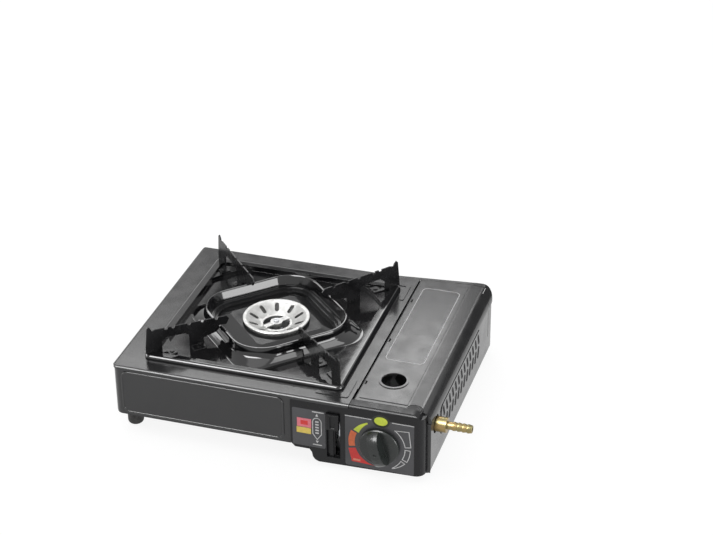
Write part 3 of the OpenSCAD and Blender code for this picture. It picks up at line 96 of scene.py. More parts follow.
tray_low, tray_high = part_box("drip_tray")
tray_centre = (tray_low + tray_high) / 2
knob_low, knob_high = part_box("knob")
knob_centre = (knob_low + knob_high) / 2
burner_low, burner_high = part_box("burner_head")
burner_centre = (burner_low + burner_high) / 2
print("corner", [round(v, 4) for v in corner], "knob", [round(v, 4) for v in knob_centre])

# %% [markdown]
# ## The camera
#
# The camera stands 2 m off, in front and a little to the right, and looks down at 30 degrees. A long
# lens keeps the case's edges nearly parallel. Its turn is built from azimuth, elevation and a small
# roll, as a tripod head has them.

# %% Camera
CAMERA_PLACE = Vector((0.56384, -1.64935, 1.15744))
AZIMUTH = math.radians(17.681)
ELEVATION = math.radians(29.828)
ROLL = math.radians(-0.516)
LENS = 96.93
SENSOR = 36.0


def camera_turn(azimuth, elevation, roll):
    """A matrix whose columns are the camera's right, its up and the way it looks away from."""
    back = Vector((math.sin(azimuth) * math.cos(elevation), -math.cos(azimuth) * math.cos(elevation),
                   math.sin(elevation)))
    level = Vector((math.cos(azimuth), math.sin(azimuth), 0.0))
    rise = level.cross(-back)
    right = math.cos(roll) * level + math.sin(roll) * rise
    up = math.cos(roll) * rise - math.sin(roll) * level
    return Matrix((right, up, back)).transposed().to_4x4()


camera_data = bpy.data.cameras.new("camera")
camera_data.lens = LENS
camera_data.sensor_width = SENSOR
camera = bpy.data.objects.new("camera", camera_data)
bpy.context.scene.collection.objects.link(camera)
camera.matrix_world = Matrix.Translation(CAMERA_PLACE) @ camera_turn(AZIMUTH, ELEVATION, ROLL)
bpy.context.scene.camera = camera
bpy.context.scene.view_settings.view_transform = "Standard"
print("camera stands at", [round(v, 3) for v in CAMERA_PLACE])

# %% [markdown]
# ## Building materials
#
# Every finish is a node material on object coordinates, so its grain has a real size in metres and
# stays put on the piece. One class starts a material, and its methods add what finishes share: a
# cloudy change of tone, a change of gloss and a fine grain. All three read noise on the piece's own
# coordinates, with a scale that says about how many clouds there are in a metre.

# %% A helper for materials
NOISE_LOW, NOISE_HIGH = 0.35, 0.65


class Finish:
    """A Principled material with its tree and the piece's own coordinates at hand."""

    def __init__(self, name, colour, roughness, metallic=0.0):
        self.material = bpy.data.materials.new(name)
        self.material.use_nodes = True
        self.tree = self.material.node_tree
        self.shader = self.tree.nodes["Principled BSDF"]
        self.shader.inputs["Base Color"].default_value = (*colour, 1.0)
        self.shader.inputs["Roughness"].default_value = roughness
        self.shader.inputs["Metallic"].default_value = metallic
        self.place = self.tree.nodes.new("ShaderNodeTexCoord").outputs["Object"]
        self.colour = colour
        self.material.diffuse_color = (*colour, 1.0)

    def node(self, kind, **values):
        made = self.tree.nodes.new(kind)
        for name, value in values.items():
            setattr(made, name, value)
        return made

    def link(self, source, target):
        self.tree.links.new(source, target)

    def noise(self, scale, detail=3.0, stretch=(1.0, 1.0, 1.0)):
        """Cloudy noise with about `scale` clouds in a metre; stretch draws it out along an axis."""
        mapping = self.node("ShaderNodeMapping")
        mapping.inputs["Scale"].default_value = stretch
        noise = self.node("ShaderNodeTexNoise")
        noise.inputs["Scale"].default_value = scale
        noise.inputs["Detail"].default_value = detail
        self.link(self.place, mapping.inputs["Vector"])
        self.link(mapping.outputs["Vector"], noise.inputs["Vector"])
        return noise.outputs["Fac"]

    def spread(self, value, low, high):
        """Maps a noise value from its usual range onto low to high."""
        spread = self.node("ShaderNodeMapRange")
        spread.inputs["From Min"].default_value = NOISE_LOW
        spread.inputs["From Max"].default_value = NOISE_HIGH
        spread.inputs["To Min"].default_value = low
        spread.inputs["To Max"].default_value = high
        self.link(value, spread.inputs["Value"])
        return spread.outputs["Result"]

    def cloudy(self, other, *noise):
        """Drifts the colour towards another one."""
        blend = self.node("ShaderNodeMix", data_type="RGBA")
        blend.inputs["A"].default_value = (*self.colour, 1.0)
        blend.inputs["B"].default_value = (*other, 1.0)
        self.link(self.spread(self.noise(*noise), 0.0, 1.0), blend.inputs["Factor"])
        self.link(blend.outputs["Result"], self.shader.inputs["Base Color"])

    def gloss(self, low, high, *noise):
        """Lets the roughness wander from low to high."""
        self.link(self.spread(self.noise(*noise), low, high), self.shader.inputs["Roughness"])

    def grain(self, strength, depth, *noise):
        """Roughens the surface in the shading, by a depth in metres."""
        bump = self.node("ShaderNodeBump")
        bump.inputs["Strength"].default_value = strength
        bump.inputs["Distance"].default_value = depth
        self.link(self.noise(*noise), bump.inputs["Height"])
        self.link(bump.outputs["Normal"], self.shader.inputs["Normal"])

    def sheen(self, level):
        """Dulls or brightens the reflection; 0.5 is what a plain plastic has."""
        self.shader.inputs["Specular IOR Level"].default_value = level

    def coat(self, weight, roughness):
        """A clear layer over the colour."""
        self.shader.inputs["Coat Weight"].default_value = weight
        self.shader.inputs["Coat Roughness"].default_value = roughness


finishes = {}


def keep_finishes(*makers):
    """Makes each finish and keeps its material under the maker's name."""
    for make in makers:
        finishes[make.__name__] = make().material
    print("finishes:", len(finishes), "with", ", ".join(make.__name__ for make in makers))


print("a noise is spread from", NOISE_LOW, "to", NOISE_HIGH)

# %% [markdown]
# ## Painted steel
#
# The case is pressed sheet with a dark grey baked coat. Close up such a coat has a faint orange-peel
# texture and a gloss that wanders a little. The drip tray is dipped in black enamel, which is almost a
# mirror, with long soft waves from the dipping. Its fins get a thinner coat that comes out duller.

# %% Case paint and tray enamel
def case_paint():
    made = Finish("case_paint", (0.022, 0.022, 0.023), 0.2)
    made.cloudy((0.028, 0.028, 0.029), 9.0)
    made.gloss(0.16, 0.24, 60.0, 4.0)
    made.grain(0.07, 0.0001, 1400.0, 2.0)
    return made


def tray_enamel():
    made = Finish("tray_enamel", (0.005, 0.005, 0.0055), 0.1)
    made.cloudy((0.009, 0.009, 0.01), 14.0)
    made.gloss(0.06, 0.12, 40.0, 4.0)
    made.grain(0.1, 0.0004, 60.0, 1.0)
    made.coat(0.3, 0.04)
    return made


def fin_enamel():
    made = Finish("fin_enamel", (0.006, 0.006, 0.0065), 0.22)
    made.sheen(0.3)
    made.cloudy((0.011, 0.011, 0.012), 40.0)
    made.gloss(0.16, 0.3, 120.0, 4.0)
    made.grain(0.1, 0.0001, 500.0, 2.0)
    return made


keep_finishes(case_paint, tray_enamel, fin_enamel)

# %% [markdown]
# ## Plastics and rubber
#
# The bezel round the controls is moulded with a fine spark-eroded grain, the knob is smoother, and
# the printed plates are a film with a low sheen. Rubber feet are matt with dust in their grain. The
# spark's path has parts of its own: a dark igniter, red and pale plastic, and a glazed ceramic.

# %% Plastic and rubber finishes
def bezel_plastic():
    made = Finish("bezel_plastic", (0.005, 0.005, 0.006), 0.3)
    made.sheen(0.3)
    made.gloss(0.24, 0.36, 90.0, 4.0)
    made.grain(0.1, 0.0001, 3200.0, 2.0)
    return made


def knob_plastic():
    made = Finish("knob_plastic", (0.012, 0.015, 0.014), 0.3)
    made.gloss(0.24, 0.36, 120.0, 4.0)
    made.grain(0.05, 0.0001, 2600.0, 2.0)
    return made


def label_film():
    made = Finish("label_film", (0.05, 0.05, 0.054), 0.35)
    made.cloudy((0.06, 0.06, 0.065), 25.0)
    made.grain(0.04, 0.0001, 900.0, 2.0)
    return made


def foot_rubber():
    made = Finish("foot_rubber", (0.018, 0.018, 0.018), 0.75)
    made.cloudy((0.035, 0.034, 0.033), 300.0, 5.0)
    made.grain(0.25, 0.0002, 1500.0, 4.0)
    return made


def igniter_plastic():
    made = Finish("igniter_plastic", (0.02, 0.02, 0.021), 0.5)
    made.grain(0.1, 0.0001, 2000.0, 2.0)
    return made


def red_plastic():
    made = Finish("red_plastic", (0.45, 0.03, 0.02), 0.4)
    made.cloudy((0.38, 0.025, 0.02), 200.0)
    made.grain(0.08, 0.0001, 1500.0, 2.0)
    return made


def pale_plastic():
    made = Finish("pale_plastic", (0.62, 0.6, 0.53), 0.4)
    made.cloudy((0.55, 0.53, 0.46), 150.0)
    made.grain(0.08, 0.0001, 1500.0, 2.0)
    return made


def ceramic():
    made = Finish("ceramic", (0.83, 0.81, 0.76), 0.15)
    made.cloudy((0.78, 0.76, 0.7), 180.0)
    made.grain(0.1, 0.0001, 700.0, 2.0)
    return made


keep_finishes(bezel_plastic, knob_plastic, label_film, foot_rubber, igniter_plastic, red_plastic,
              pale_plastic, ceramic)

# %% [markdown]
# ## Metals
#
# The burner is die-cast aluminium: bright where the die was polished, with a fine sandy bump. Brackets
# and screws are zinc-plated steel, drawn out in one direction by the rolling mill. The gas fittings are
# turned brass, whose tool marks run round the axis of the piece.

# %% Metal finishes
def burner_aluminium():
    made = Finish("burner_aluminium", (0.56, 0.56, 0.55), 0.38, 0.75)
    made.cloudy((0.44, 0.44, 0.43), 160.0, 5.0)
    made.gloss(0.3, 0.5, 500.0, 5.0)
    made.grain(0.35, 0.0003, 1100.0, 5.0)
    return made


def cast_aluminium():
    made = Finish("cast_aluminium", (0.5, 0.5, 0.51), 0.5, 0.9)
    made.cloudy((0.38, 0.38, 0.39), 120.0, 5.0)
    made.grain(0.4, 0.0003, 900.0, 5.0)
    return made


def painted_shade_casting():
    """The unpolished inside of the burner, painted dark grey for the shade that lies inside it."""
    made = Finish("painted_shade_casting", (0.1, 0.1, 0.1), 0.75, 0.3)
    made.cloudy((0.06, 0.058, 0.055), 120.0, 5.0)
    made.grain(0.4, 0.0003, 900.0, 5.0)
    return made


def plated_steel():
    made = Finish("plated_steel", (0.52, 0.53, 0.54), 0.35, 1.0)
    made.cloudy((0.42, 0.43, 0.45), 60.0, 3.0)
    made.gloss(0.25, 0.45, 120.0, 4.0, (1.0, 20.0, 20.0))
    made.grain(0.15, 0.0001, 150.0, 3.0, (1.0, 30.0, 30.0))
    return made


def brass():
    made = Finish("brass", (0.34, 0.235, 0.1), 0.42, 1.0)
    made.cloudy((0.22, 0.2, 0.1), 110.0, 4.0)
    made.gloss(0.24, 0.42, 300.0, 3.0, (12.0, 1.0, 1.0))
    made.grain(0.15, 0.0001, 400.0, 2.0, (12.0, 1.0, 1.0))
    return made


keep_finishes(burner_aluminium, cast_aluminium, painted_shade_casting, plated_steel, brass)

# %% [markdown]
# ## Giving every CAD piece its finish
#
# The record names a material slot for every piece, and each slot has a finish of the same name. A few
# pieces have a finish of their own: the lid's hinge takes the case's dark paint, which is painted shade
# in the seam over it, and the fins and their rivets are duller than the tray. The mesh's material is
# set, and its shape is left alone.

# %% Assign the finishes
slot_of = {part["node"]: part["material_slot"] for part in frame["record"]["subparts"]}
FINS = ("fin_front_left", "fin_front_right", "fin_rear_right", "fin_rear_left")
# The hinge's pin and ears take the dark case paint: painted shade in the seam between lid and top panel.
OWN_FINISH = {"hinge_pin": "case_paint", "hinge_ears": "case_paint"}
OWN_FINISH.update({node: "fin_enamel" for node in FINS + ("fin_rivets",)})


def finish_of(node):
    return finishes[OWN_FINISH.get(node, slot_of[node])]


for name, piece in nodes.items():
    piece.data.materials.clear()
    piece.data.materials.append(finish_of(name))
print("pieces by finish:", {name: sum(finish_of(node) == made for node in nodes)
                            for name, made in finishes.items()})

# %% [markdown]
# ## Rounded edges on pressed and moulded pieces
#
# CAD edges are razor sharp, and real ones never are: sheet bends over a radius, enamel gathers on an
# edge, and a mould is eased. Those small radii catch the light and draw the bright lines that make a
# stove look real. `eased` copies a CAD piece, merges its loose triangles into one skin, dissolves the
# flat faces into single polygons and bevels every sharp edge. Where two wide faces meet in a shallow
# crease, the edge is marked sharp, so that the shading doesn't smear across it. The copy then stands
# for the CAD piece, which stays in the scene, hidden.

# %% A helper that eases edges
SHARP = math.radians(32.0)
FLAT = math.radians(1.0)
MERGE = 0.004 * MM
CREASE_ANGLE = math.radians(2.0)
CREASE_WIDTH = 4.0 * MM
FLAT_WEIGHT = 80


def joined_copy(node):
    """The CAD piece's triangles as one merged skin with flat faces dissolved."""
    shape = bmesh.new()
    shape.from_mesh(nodes[node].data)
    bmesh.ops.remove_doubles(shape, verts=shape.verts, dist=MERGE)
    bmesh.ops.dissolve_limit(shape, angle_limit=FLAT, verts=shape.verts, edges=shape.edges,
                             delimit={"NORMAL"})
    return shape


def loose_object(name, shape):
    """A new object in the scene that takes the bmesh's faces."""
    mesh = bpy.data.meshes.new(name)
    shape.to_mesh(mesh)
    shape.free()
    made = bpy.data.objects.new(name, mesh)
    bpy.context.scene.collection.objects.link(made)
    return made


def finish_piece(shape, name, node, replaced=()):
    """Turns a bmesh into a piece that rides where the node rides and takes its finish."""
    piece = loose_object(name, shape)
    piece.data.materials.append(finish_of(node))
    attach(piece, body_of(node))
    if replaced:
        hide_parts(*replaced)
    return piece


def smooth(piece, angle=SHARP):
    """Shades a piece smoothly, apart from the edges sharper than an angle."""
    piece.data.shade_smooth()
    piece.data.set_sharp_from_angle(angle=angle)


def baked(piece):
    """Applies a piece's modifiers, so that what is exported is a plain mesh."""
    depsgraph = bpy.context.evaluated_depsgraph_get()
    mesh = bpy.data.meshes.new_from_object(piece.evaluated_get(depsgraph))
    piece.modifiers.clear()
    piece.data = mesh


def mark_creases(piece):
    """Keeps a crease crisp where two wide flat faces meet at a shallow angle."""
    shape = bmesh.new()
    shape.from_mesh(piece.data)
    for edge in shape.edges:
        if len(edge.link_faces) == 2 and edge.calc_face_angle(0.0) > CREASE_ANGLE:
            wide = min(face.calc_area() for face in edge.link_faces) / edge.calc_length()
            if wide > CREASE_WIDTH:
                edge.smooth = False
    shape.to_mesh(piece.data)
    shape.free()


def ease_edges(piece, width, segments=2):
    """Rounds the sharp edges; weighted normals keep the flat faces flat in the shading."""
    smooth(piece)
    mark_creases(piece)
    bevel = piece.modifiers.new("ease", "BEVEL")
    bevel.width = width * MM
    bevel.segments = segments
    bevel.limit_method = "ANGLE"
    bevel.angle_limit = SHARP
    bevel.use_clamp_overlap = True
    bevel.harden_normals = True
    flat = piece.modifiers.new("flat", "WEIGHTED_NORMAL")
    flat.mode = "FACE_AREA"
    flat.weight = FLAT_WEIGHT
    flat.keep_sharp = True
    bpy.context.view_layer.update()
    baked(piece)


def eased(node, width):
    """Stands for a CAD piece with its sharp edges rounded to about width millimetres."""
    piece = finish_piece(joined_copy(node), node + "_eased", node, [node])
    ease_edges(piece, width)
    return piece


print("edges sharper than", round(math.degrees(SHARP)), "degrees are eased")


# %% Ease the visible pieces
EASED = {
    "top_panel": 0.35, "lower_case": 0.3, "cartridge_lid": 0.35, "control_bezel": 0.5,
    **{node: 0.3 for node in FINS},
    "lever_thumb": 0.6, "knob": 0.7, "hose_nozzle": 0.15, "nozzle_nut": 0.3,
    "burner_head": 0.25, "burner_hub": 0.4, "hub_screw": 0.2, "fin_rivets": 0.3,
}
for node, width in EASED.items():
    piece = eased(node, width)
    print(node, len(piece.data.polygons), "faces")

# %% [markdown]
# ## The drip tray and its wind ring
#
# The tray is pressed from one sheet. Round the burner the sheet flares up out of the tray's floor,
# folds over a narrow round edge and leans back down inside, which makes the wind ring. The CAD ring has
# plain upright walls. Here a boolean cuts them out of a copy of the tray, and the pressed form takes
# their place: the middle line of the sheet is listed as distance out from the ring's face and height,
# the line gets the sheet's thickness, and the section is swept round the ring's rounded square. The
# corners are tighter at the flare's foot than at the ring's top, as drawn sheet has them. The tray's
# outer rim is rolled over a radius, on top and underneath, so that the sheet keeps its thickness.

# %% Section of the wind ring
RING_HALF = 66.0
RING_CORNER = 37.0
SHEET = 0.8
RING_LINE = [
    (9.4, 79.9), (8.3, 79.95), (7.5, 80.35), (5.9, 81.9), (4.3, 83.45), (2.7, 85.0), (1.9, 85.9),
    (1.4, 87.0), (0.8, 89.5), (0.35, 92.0), (0.0, 94.6), (-0.3, 95.7), (-0.8, 96.4), (-1.35, 96.45),
    (-1.85, 95.9), (-2.3, 94.7), (-3.2, 92.2), (-4.2, 89.5), (-5.0, 87.3), (-5.35, 86.0), (-5.4, 84.6),
    (-5.4, 79.9)]
FLARE_STARTS = 1.4
FLARE_TIGHTENS = 2.7
RING_SHARP = math.radians(30.0)
ring_centre = Vector((tray_centre.x, tray_centre.y, 0.0))


def sheet_section(line, thickness):
    """Outline of a sheet whose middle follows a line of (out, up) points."""
    sides = ([], [])
    for k, point in enumerate(line):
        before, after = Vector(line[max(k - 1, 0)]), Vector(line[min(k + 1, len(line) - 1)])
        along = (after - before).normalized()
        across = Vector((-along.y, along.x)) * thickness / 2
        sides[0].append(Vector(point) + across)
        sides[1].append(Vector(point) - across)
    return sides[0] + sides[1][::-1]


def square_path(half, radius, steps=10):
    """Rounded square turned by 45 degrees about the tray's centre, as offsets in millimetres."""
    points = []
    for quarter in range(4):
        for k in range(steps + 1):
            angle = math.radians(45.0 + 90.0 * quarter + 90.0 * k / steps)
            centre = (half - radius) * math.sqrt(2.0)
            toward = math.radians(90.0 + 90.0 * quarter)
            points.append((centre * math.cos(toward) + radius * math.cos(angle),
                           centre * math.sin(toward) + radius * math.sin(angle)))
    return points


def ring_loop(shape, path, z):
    """A loop of points round the ring at one height."""
    return [shape.verts.new(ring_centre + Vector((x, y, z)) * MM) for x, y in path]


def skin(shape, here, there):
    """Joins two closed loops of points with a band of four-sided faces."""
    for i in range(len(here)):
        j = (i + 1) % len(here)
        shape.faces.new((here[i], here[j], there[j], there[i]))


def skin_all(shape, loops):
    """Joins each loop with the next, and the last with the first."""
    for k in range(len(loops)):
        skin(shape, loops[k], loops[(k + 1) % len(loops)])


def swept_ring(shape, section):
    """Sweeps a closed (out, up) section round the ring; its corners tighten towards the flare's foot."""
    loops = []
    for out, up in section:
        tightened = FLARE_TIGHTENS * max(out - FLARE_STARTS, 0.0)
        loops.append(ring_loop(shape, square_path(RING_HALF + out, RING_CORNER + out - tightened), up))
    skin_all(shape, loops)
    bmesh.ops.recalc_face_normals(shape, faces=shape.faces)


print("points across the ring's section:", len(sheet_section(RING_LINE, SHEET)))

# %% Cut the upright ring out and put the pressed one in
CUTTER_LOW, CUTTER_HIGH = 70.0, 99.0
CUTTER_GROWTH = 0.05
TRAY_CORNER = 8.0 * MM
RIM_ROLL = 3.8
RIM_STEPS = 6
NEAR = 0.1 * MM


def ring_cutter():
    """A block a hair larger than the upright ring, which cuts it and the opening's edge away."""
    shape = bmesh.new()
    path = square_path(RING_HALF + CUTTER_GROWTH, RING_CORNER + CUTTER_GROWTH, 12)
    low, high = (ring_loop(shape, path, z) for z in (CUTTER_LOW, CUTTER_HIGH))
    shape.faces.new(low[::-1])
    shape.faces.new(high)
    skin(shape, low, high)
    return loose_object("ring_cutter", shape)


def round_rim(piece, inset, radius):
    """Rolls the rim's edge that lies inset millimetres inside and below its top outline."""
    rim = bmesh.new()
    rim.from_mesh(piece.data)
    half = (tray_high.x - tray_low.x) / 2
    top = max(v.co.z for v in rim.verts if abs(v.co.x - tray_low.x) < NEAR)

    def on_edge(vert):
        away = Vector((abs(vert.co.x - tray_centre.x), abs(vert.co.y - tray_centre.y)))
        over = Vector([max(reach - half + TRAY_CORNER, 0.0) for reach in away])
        return (abs(over.length - TRAY_CORNER + inset * MM) < NEAR
                and abs(vert.co.z - top + inset * MM) < NEAR / 2)

    edges = [e for e in rim.edges if all(on_edge(v) for v in e.verts)]
    bmesh.ops.bevel(rim, geom=edges, offset=radius * MM, segments=RIM_STEPS, profile=0.5, affect="EDGES")
    rim.to_mesh(piece.data)
    rim.free()
    print("rim edges rounded:", len(edges))


tray = finish_piece(joined_copy("drip_tray"), "drip_tray_pressed", "drip_tray", ["drip_tray"])
cutter = ring_cutter()
cut = tray.modifiers.new("ring", "BOOLEAN")
cut.operation = "DIFFERENCE"
cut.solver = "EXACT"
cut.object = cutter
bpy.context.view_layer.update()
baked(tray)
bpy.data.objects.remove(cutter)
round_rim(tray, SHEET, RIM_ROLL - SHEET)
round_rim(tray, 0.0, RIM_ROLL)
ease_edges(tray, 0.35, 3)
shape = bmesh.new()
swept_ring(shape, sheet_section(RING_LINE, SHEET))
ring = finish_piece(shape, "wind_ring", "drip_tray")
smooth(ring, RING_SHARP)
print("tray", len(tray.data.polygons), "faces, ring", len(ring.data.polygons), "faces")

# %% [markdown]
# ## Repeats made with Geometry Nodes
#
# Three things on the stove follow a rule: the pressed lips round the louvres and the fine ribs under
# the burner's rim repeat, and a rolled bead runs round the apron. Each could be copied by hand, but a
# small node tree says the rule once, with its sizes as named inputs. The tree's result is turned into a
# plain mesh, so that the finished piece carries no modifier.

# %% A helper for node trees
COUNT, LENGTH, PLACE = "NodeSocketInt", "NodeSocketFloat", "NodeSocketVector"
ROUND = math.radians(40.0)
QUARTER = math.pi / 2


class Rule:
    """A Geometry Nodes tree with named inputs, given as a label and a kind of socket."""

    def __init__(self, name, inputs):
        self.tree = bpy.data.node_groups.new(name, "GeometryNodeTree")
        interface = self.tree.interface
        self.sockets = {label: interface.new_socket(label, in_out="INPUT", socket_type=kind).identifier
                        for label, kind in inputs.items()}
        interface.new_socket("Geometry", in_out="OUTPUT", socket_type="NodeSocketGeometry")
        self.inputs = self.tree.nodes.new("NodeGroupInput").outputs
        self.output = self.tree.nodes.new("NodeGroupOutput").inputs["Geometry"]

    def node(self, kind, links=(), **values):
        """Adds a node; links gives each of its inputs a value or another node's output."""
        made = self.tree.nodes.new(kind)
        for name, value in values.items():
            setattr(made, name, value)
        for socket, source in dict(links).items():
            if hasattr(source, "links"):
                self.tree.links.new(source, made.inputs[socket])
            else:
                made.inputs[socket].default_value = source
        return made

    def tube(self, width, height, corner, steps, radius, sides):
        """A round wire bent to a rectangle with rounded corners, flat on the ground."""
        outline = self.node("GeometryNodeCurvePrimitiveQuadrilateral", {
            "Width": width, "Height": height})
        rounded = self.node("GeometryNodeFilletCurve", {
            "Curve": outline.outputs["Curve"], "Radius": corner, "Count": steps}, mode="POLY")
        wire = self.node("GeometryNodeCurvePrimitiveCircle", {"Resolution": sides, "Radius": radius})
        return self.node("GeometryNodeCurveToMesh", {
            "Curve": rounded.outputs["Curve"], "Profile Curve": wire.outputs["Curve"]}).outputs["Mesh"]

    def moved(self, geometry, **change):
        """The geometry after a Translation or a Rotation."""
        return self.node("GeometryNodeTransform", {"Geometry": geometry, **change}).outputs["Geometry"]

    def copied(self, points, instance):
        """The instance set on every point."""
        return self.node("GeometryNodeInstanceOnPoints", {
            "Points": points, "Instance": instance}).outputs["Instances"]

    def close(self, geometry, material):
        """Ends the tree: real geometry with its material."""
        real = self.node("GeometryNodeRealizeInstances", {"Geometry": geometry})
        painted = self.node("GeometryNodeSetMaterial", {"Geometry": real.outputs["Geometry"]})
        painted.inputs["Material"].default_value = material
        self.tree.links.new(painted.outputs["Geometry"], self.output)
        print("rule", self.tree.name, "has", len(self.tree.nodes), "nodes")
        return self


def grown(name, rule, values, node):
    """Runs a rule on an empty mesh and keeps the result as a plain piece that rides with a node."""
    piece = bpy.data.objects.new(name, bpy.data.meshes.new(name))
    bpy.context.scene.collection.objects.link(piece)
    modifier = piece.modifiers.new("rule", "NODES")
    modifier.node_group = rule.tree
    for label, value in values.items():
        modifier[rule.sockets[label]] = tuple(value) if hasattr(value, "to_tuple") else value
    piece.update_tag()
    bpy.context.view_layer.update()
    baked(piece)
    smooth(piece, ROUND)
    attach(piece, body_of(node))
    print(name, len(piece.data.polygons), "faces")


# %% [markdown]
# ## Louvre lips
#
# The right wall breathes through two rows of slanted louvres. The press leaves a raised lip round each
# of them, which catches the light. One lip is a wire bent round a slot, leaned over and stood up against
# the wall, and the rule copies it along a row of points.

# %% Lips round the louvres
LOUVRE_COUNT = 13
LOUVRE_FIRST_Y, LOUVRE_LAST_Y = 59.0, 202.0
LOUVRE_PITCH = (LOUVRE_LAST_Y - LOUVRE_FIRST_Y) / (LOUVRE_COUNT - 1)
LOUVRE_FACE_X = 342.9
LOUVRE_WIDTH, LOUVRE_LENGTH = 3.5, 13.5
LOUVRE_LEAN = math.radians(18.0)
ROW_RISE = 8.2
LIP_RADIUS = 0.45
LIP_CORNER = 0.49
VENT_LOW_Z = 27.0
VENT_HIGH_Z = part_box("cartridge_lid")[0].z / MM - 2.8
LOUVRE_MIDDLE_Z = (VENT_LOW_Z + VENT_HIGH_Z) / 2


def lip_rule(material):
    rule = Rule("louvre_lips", {
        "Count": COUNT, "First": PLACE, "Step": PLACE, "Slot width": LENGTH, "Slot length": LENGTH,
        "Lean": LENGTH, "Lip radius": LENGTH})
    given = rule.inputs
    row = rule.node("GeometryNodeMeshLine", {
        "Count": given["Count"], "Start Location": given["First"],
        "Offset": given["Step"]}, mode="OFFSET")
    corner = rule.node("ShaderNodeMath", {0: given["Slot width"], 1: LIP_CORNER}, operation="MULTIPLY")
    lip = rule.tube(given["Slot width"], given["Slot length"], corner.outputs["Value"], 4,
                    given["Lip radius"], 8)
    lean = rule.node("ShaderNodeCombineXYZ", {"Z": given["Lean"]})
    leaned = rule.moved(lip, Rotation=lean.outputs["Vector"])
    stood = rule.moved(leaned, Rotation=(QUARTER, 0.0, QUARTER))
    return rule.close(rule.copied(row.outputs["Mesh"], stood), material)


lips = lip_rule(finish_of("lower_case"))
for row_name, side in (("louvre_lips_upper", 1), ("louvre_lips_lower", -1)):
    grown(row_name, lips, {
        "Count": LOUVRE_COUNT, "Step": (0.0, LOUVRE_PITCH * MM, 0.0),
        "First": at(LOUVRE_FACE_X, LOUVRE_FIRST_Y, LOUVRE_MIDDLE_Z + side * ROW_RISE),
        "Slot width": LOUVRE_WIDTH * MM, "Slot length": LOUVRE_LENGTH * MM,
        "Lean": side * LOUVRE_LEAN, "Lip radius": LIP_RADIUS * MM}, "lower_case")

# %% [markdown]
# ## Ribs round the burner
#
# Under the burner's bright rim the casting is fluted with fine upright ribs. A circle of points carries
# a thin cylinder at each.

# %% Ribs under the rim
RIB_COUNT = 60
RIB_RING = 33.5
RIB_RADIUS = 0.6
RIB_HEIGHT = 8.0
RIB_MIDDLE_Z = 82.0


def rib_rule(material):
    rule = Rule("burner_ribs", {
        "Count": COUNT, "Ring radius": LENGTH, "Centre": PLACE, "Rib radius": LENGTH,
        "Rib height": LENGTH})
    given = rule.inputs
    circle = rule.node("GeometryNodeMeshCircle", {
        "Vertices": given["Count"], "Radius": given["Ring radius"]})
    rib = rule.node("GeometryNodeMeshCylinder", {
        "Vertices": 8, "Radius": given["Rib radius"], "Depth": given["Rib height"]})
    placed = rule.moved(circle.outputs["Mesh"], Translation=given["Centre"])
    return rule.close(rule.copied(placed, rib.outputs["Mesh"]), material)


grown("burner_ribs", rib_rule(finish_of("burner_head")), {
    "Count": RIB_COUNT, "Ring radius": RIB_RING * MM,
    "Centre": Vector((burner_centre.x, burner_centre.y, RIB_MIDDLE_Z * MM)),
    "Rib radius": RIB_RADIUS * MM, "Rib height": RIB_HEIGHT * MM}, "burner_head")

# %% [markdown]
# ## A bead round the apron
#
# The apron under the tray is a shallow pressed panel with a rolled edge, which draws a bright line
# round it. A wire bent round the panel and half sunk into the sheet makes that line.

# %% The apron's bead
SKIRT_Z = 77.5
APRON_LEFT, APRON_RIGHT = 11.0, 190.0
APRON_TOP, APRON_LOW = SKIRT_Z - 0.5, SKIRT_Z - 51.5
APRON_CORNER = 8.0
BEAD_R = 1.2
BEAD_Y = 0.5


def bead_rule(material):
    rule = Rule("rolled_bead", {
        "Panel width": LENGTH, "Panel height": LENGTH, "Corner radius": LENGTH, "Bead radius": LENGTH,
        "Centre": PLACE})
    given = rule.inputs
    bead = rule.tube(given["Panel width"], given["Panel height"], given["Corner radius"], 8,
                     given["Bead radius"], 12)
    stood = rule.moved(bead, Translation=given["Centre"], Rotation=(QUARTER, 0.0, 0.0))
    return rule.close(stood, material)


grown("apron_bead", bead_rule(finish_of("lower_case")), {
    "Panel width": (APRON_RIGHT - APRON_LEFT - 2 * BEAD_R) * MM,
    "Panel height": (APRON_TOP - APRON_LOW - 2 * BEAD_R) * MM,
    "Corner radius": (APRON_CORNER - BEAD_R) * MM, "Bead radius": BEAD_R * MM,
    "Centre": at((APRON_LEFT + APRON_RIGHT) / 2, BEAD_Y, (APRON_TOP + APRON_LOW) / 2)}, "lower_case")

# %% [markdown]
# ## Painted shade behind the burner's slots
#
# Through the bowl's flame slots one sees the rough inside of the casting, which lies in shade. A thin
# cone just under the bowl carries that shade as a dark grey finish of its own, painted shade that keeps
# bright metal from showing there.

# %% Backing of the slots
BACKING_TURNS = 48
BACKING_SECTION = [(19.2, 79.0), (30.6, 85.9), (30.6, 85.4), (19.2, 78.5)]


def slot_backing():
    """The cone's section, as distance from the burner's axis and height, turned round the axis."""
    shape = bmesh.new()
    centre = Vector((burner_centre.x, burner_centre.y, 0.0))
    loops = []
    for k in range(BACKING_TURNS):
        turn = 2 * math.pi * k / BACKING_TURNS
        loops.append([shape.verts.new(centre + Vector((r * math.cos(turn), r * math.sin(turn), z)) * MM)
                      for r, z in BACKING_SECTION])
    skin_all(shape, loops)
    bmesh.ops.recalc_face_normals(shape, faces=shape.faces)
    return finish_piece(shape, "burner_slot_backing", "burner_base")


backing = slot_backing()
# The backing's dark grey is painted shade for the inside of the casting.
backing.data.materials[0] = finishes["painted_shade_casting"]
print("backing", len(backing.data.polygons), "faces")

# %% [markdown]
# ## Printed marks
#
# The plates behind the knob and beside the lever carry plain coloured fields. Ink has almost no
# thickness, so each field is a prism a twentieth of a millimetre proud of the bezel's face. Where one
# field lies on another, the lower one is thinner or the upper one thicker. Fields round the knob are
# bands between two radii, and outlines are drawn as strokes with a width.

# %% Inks
INK_ROUGHNESS = 0.4
INK_THIN = 0.88


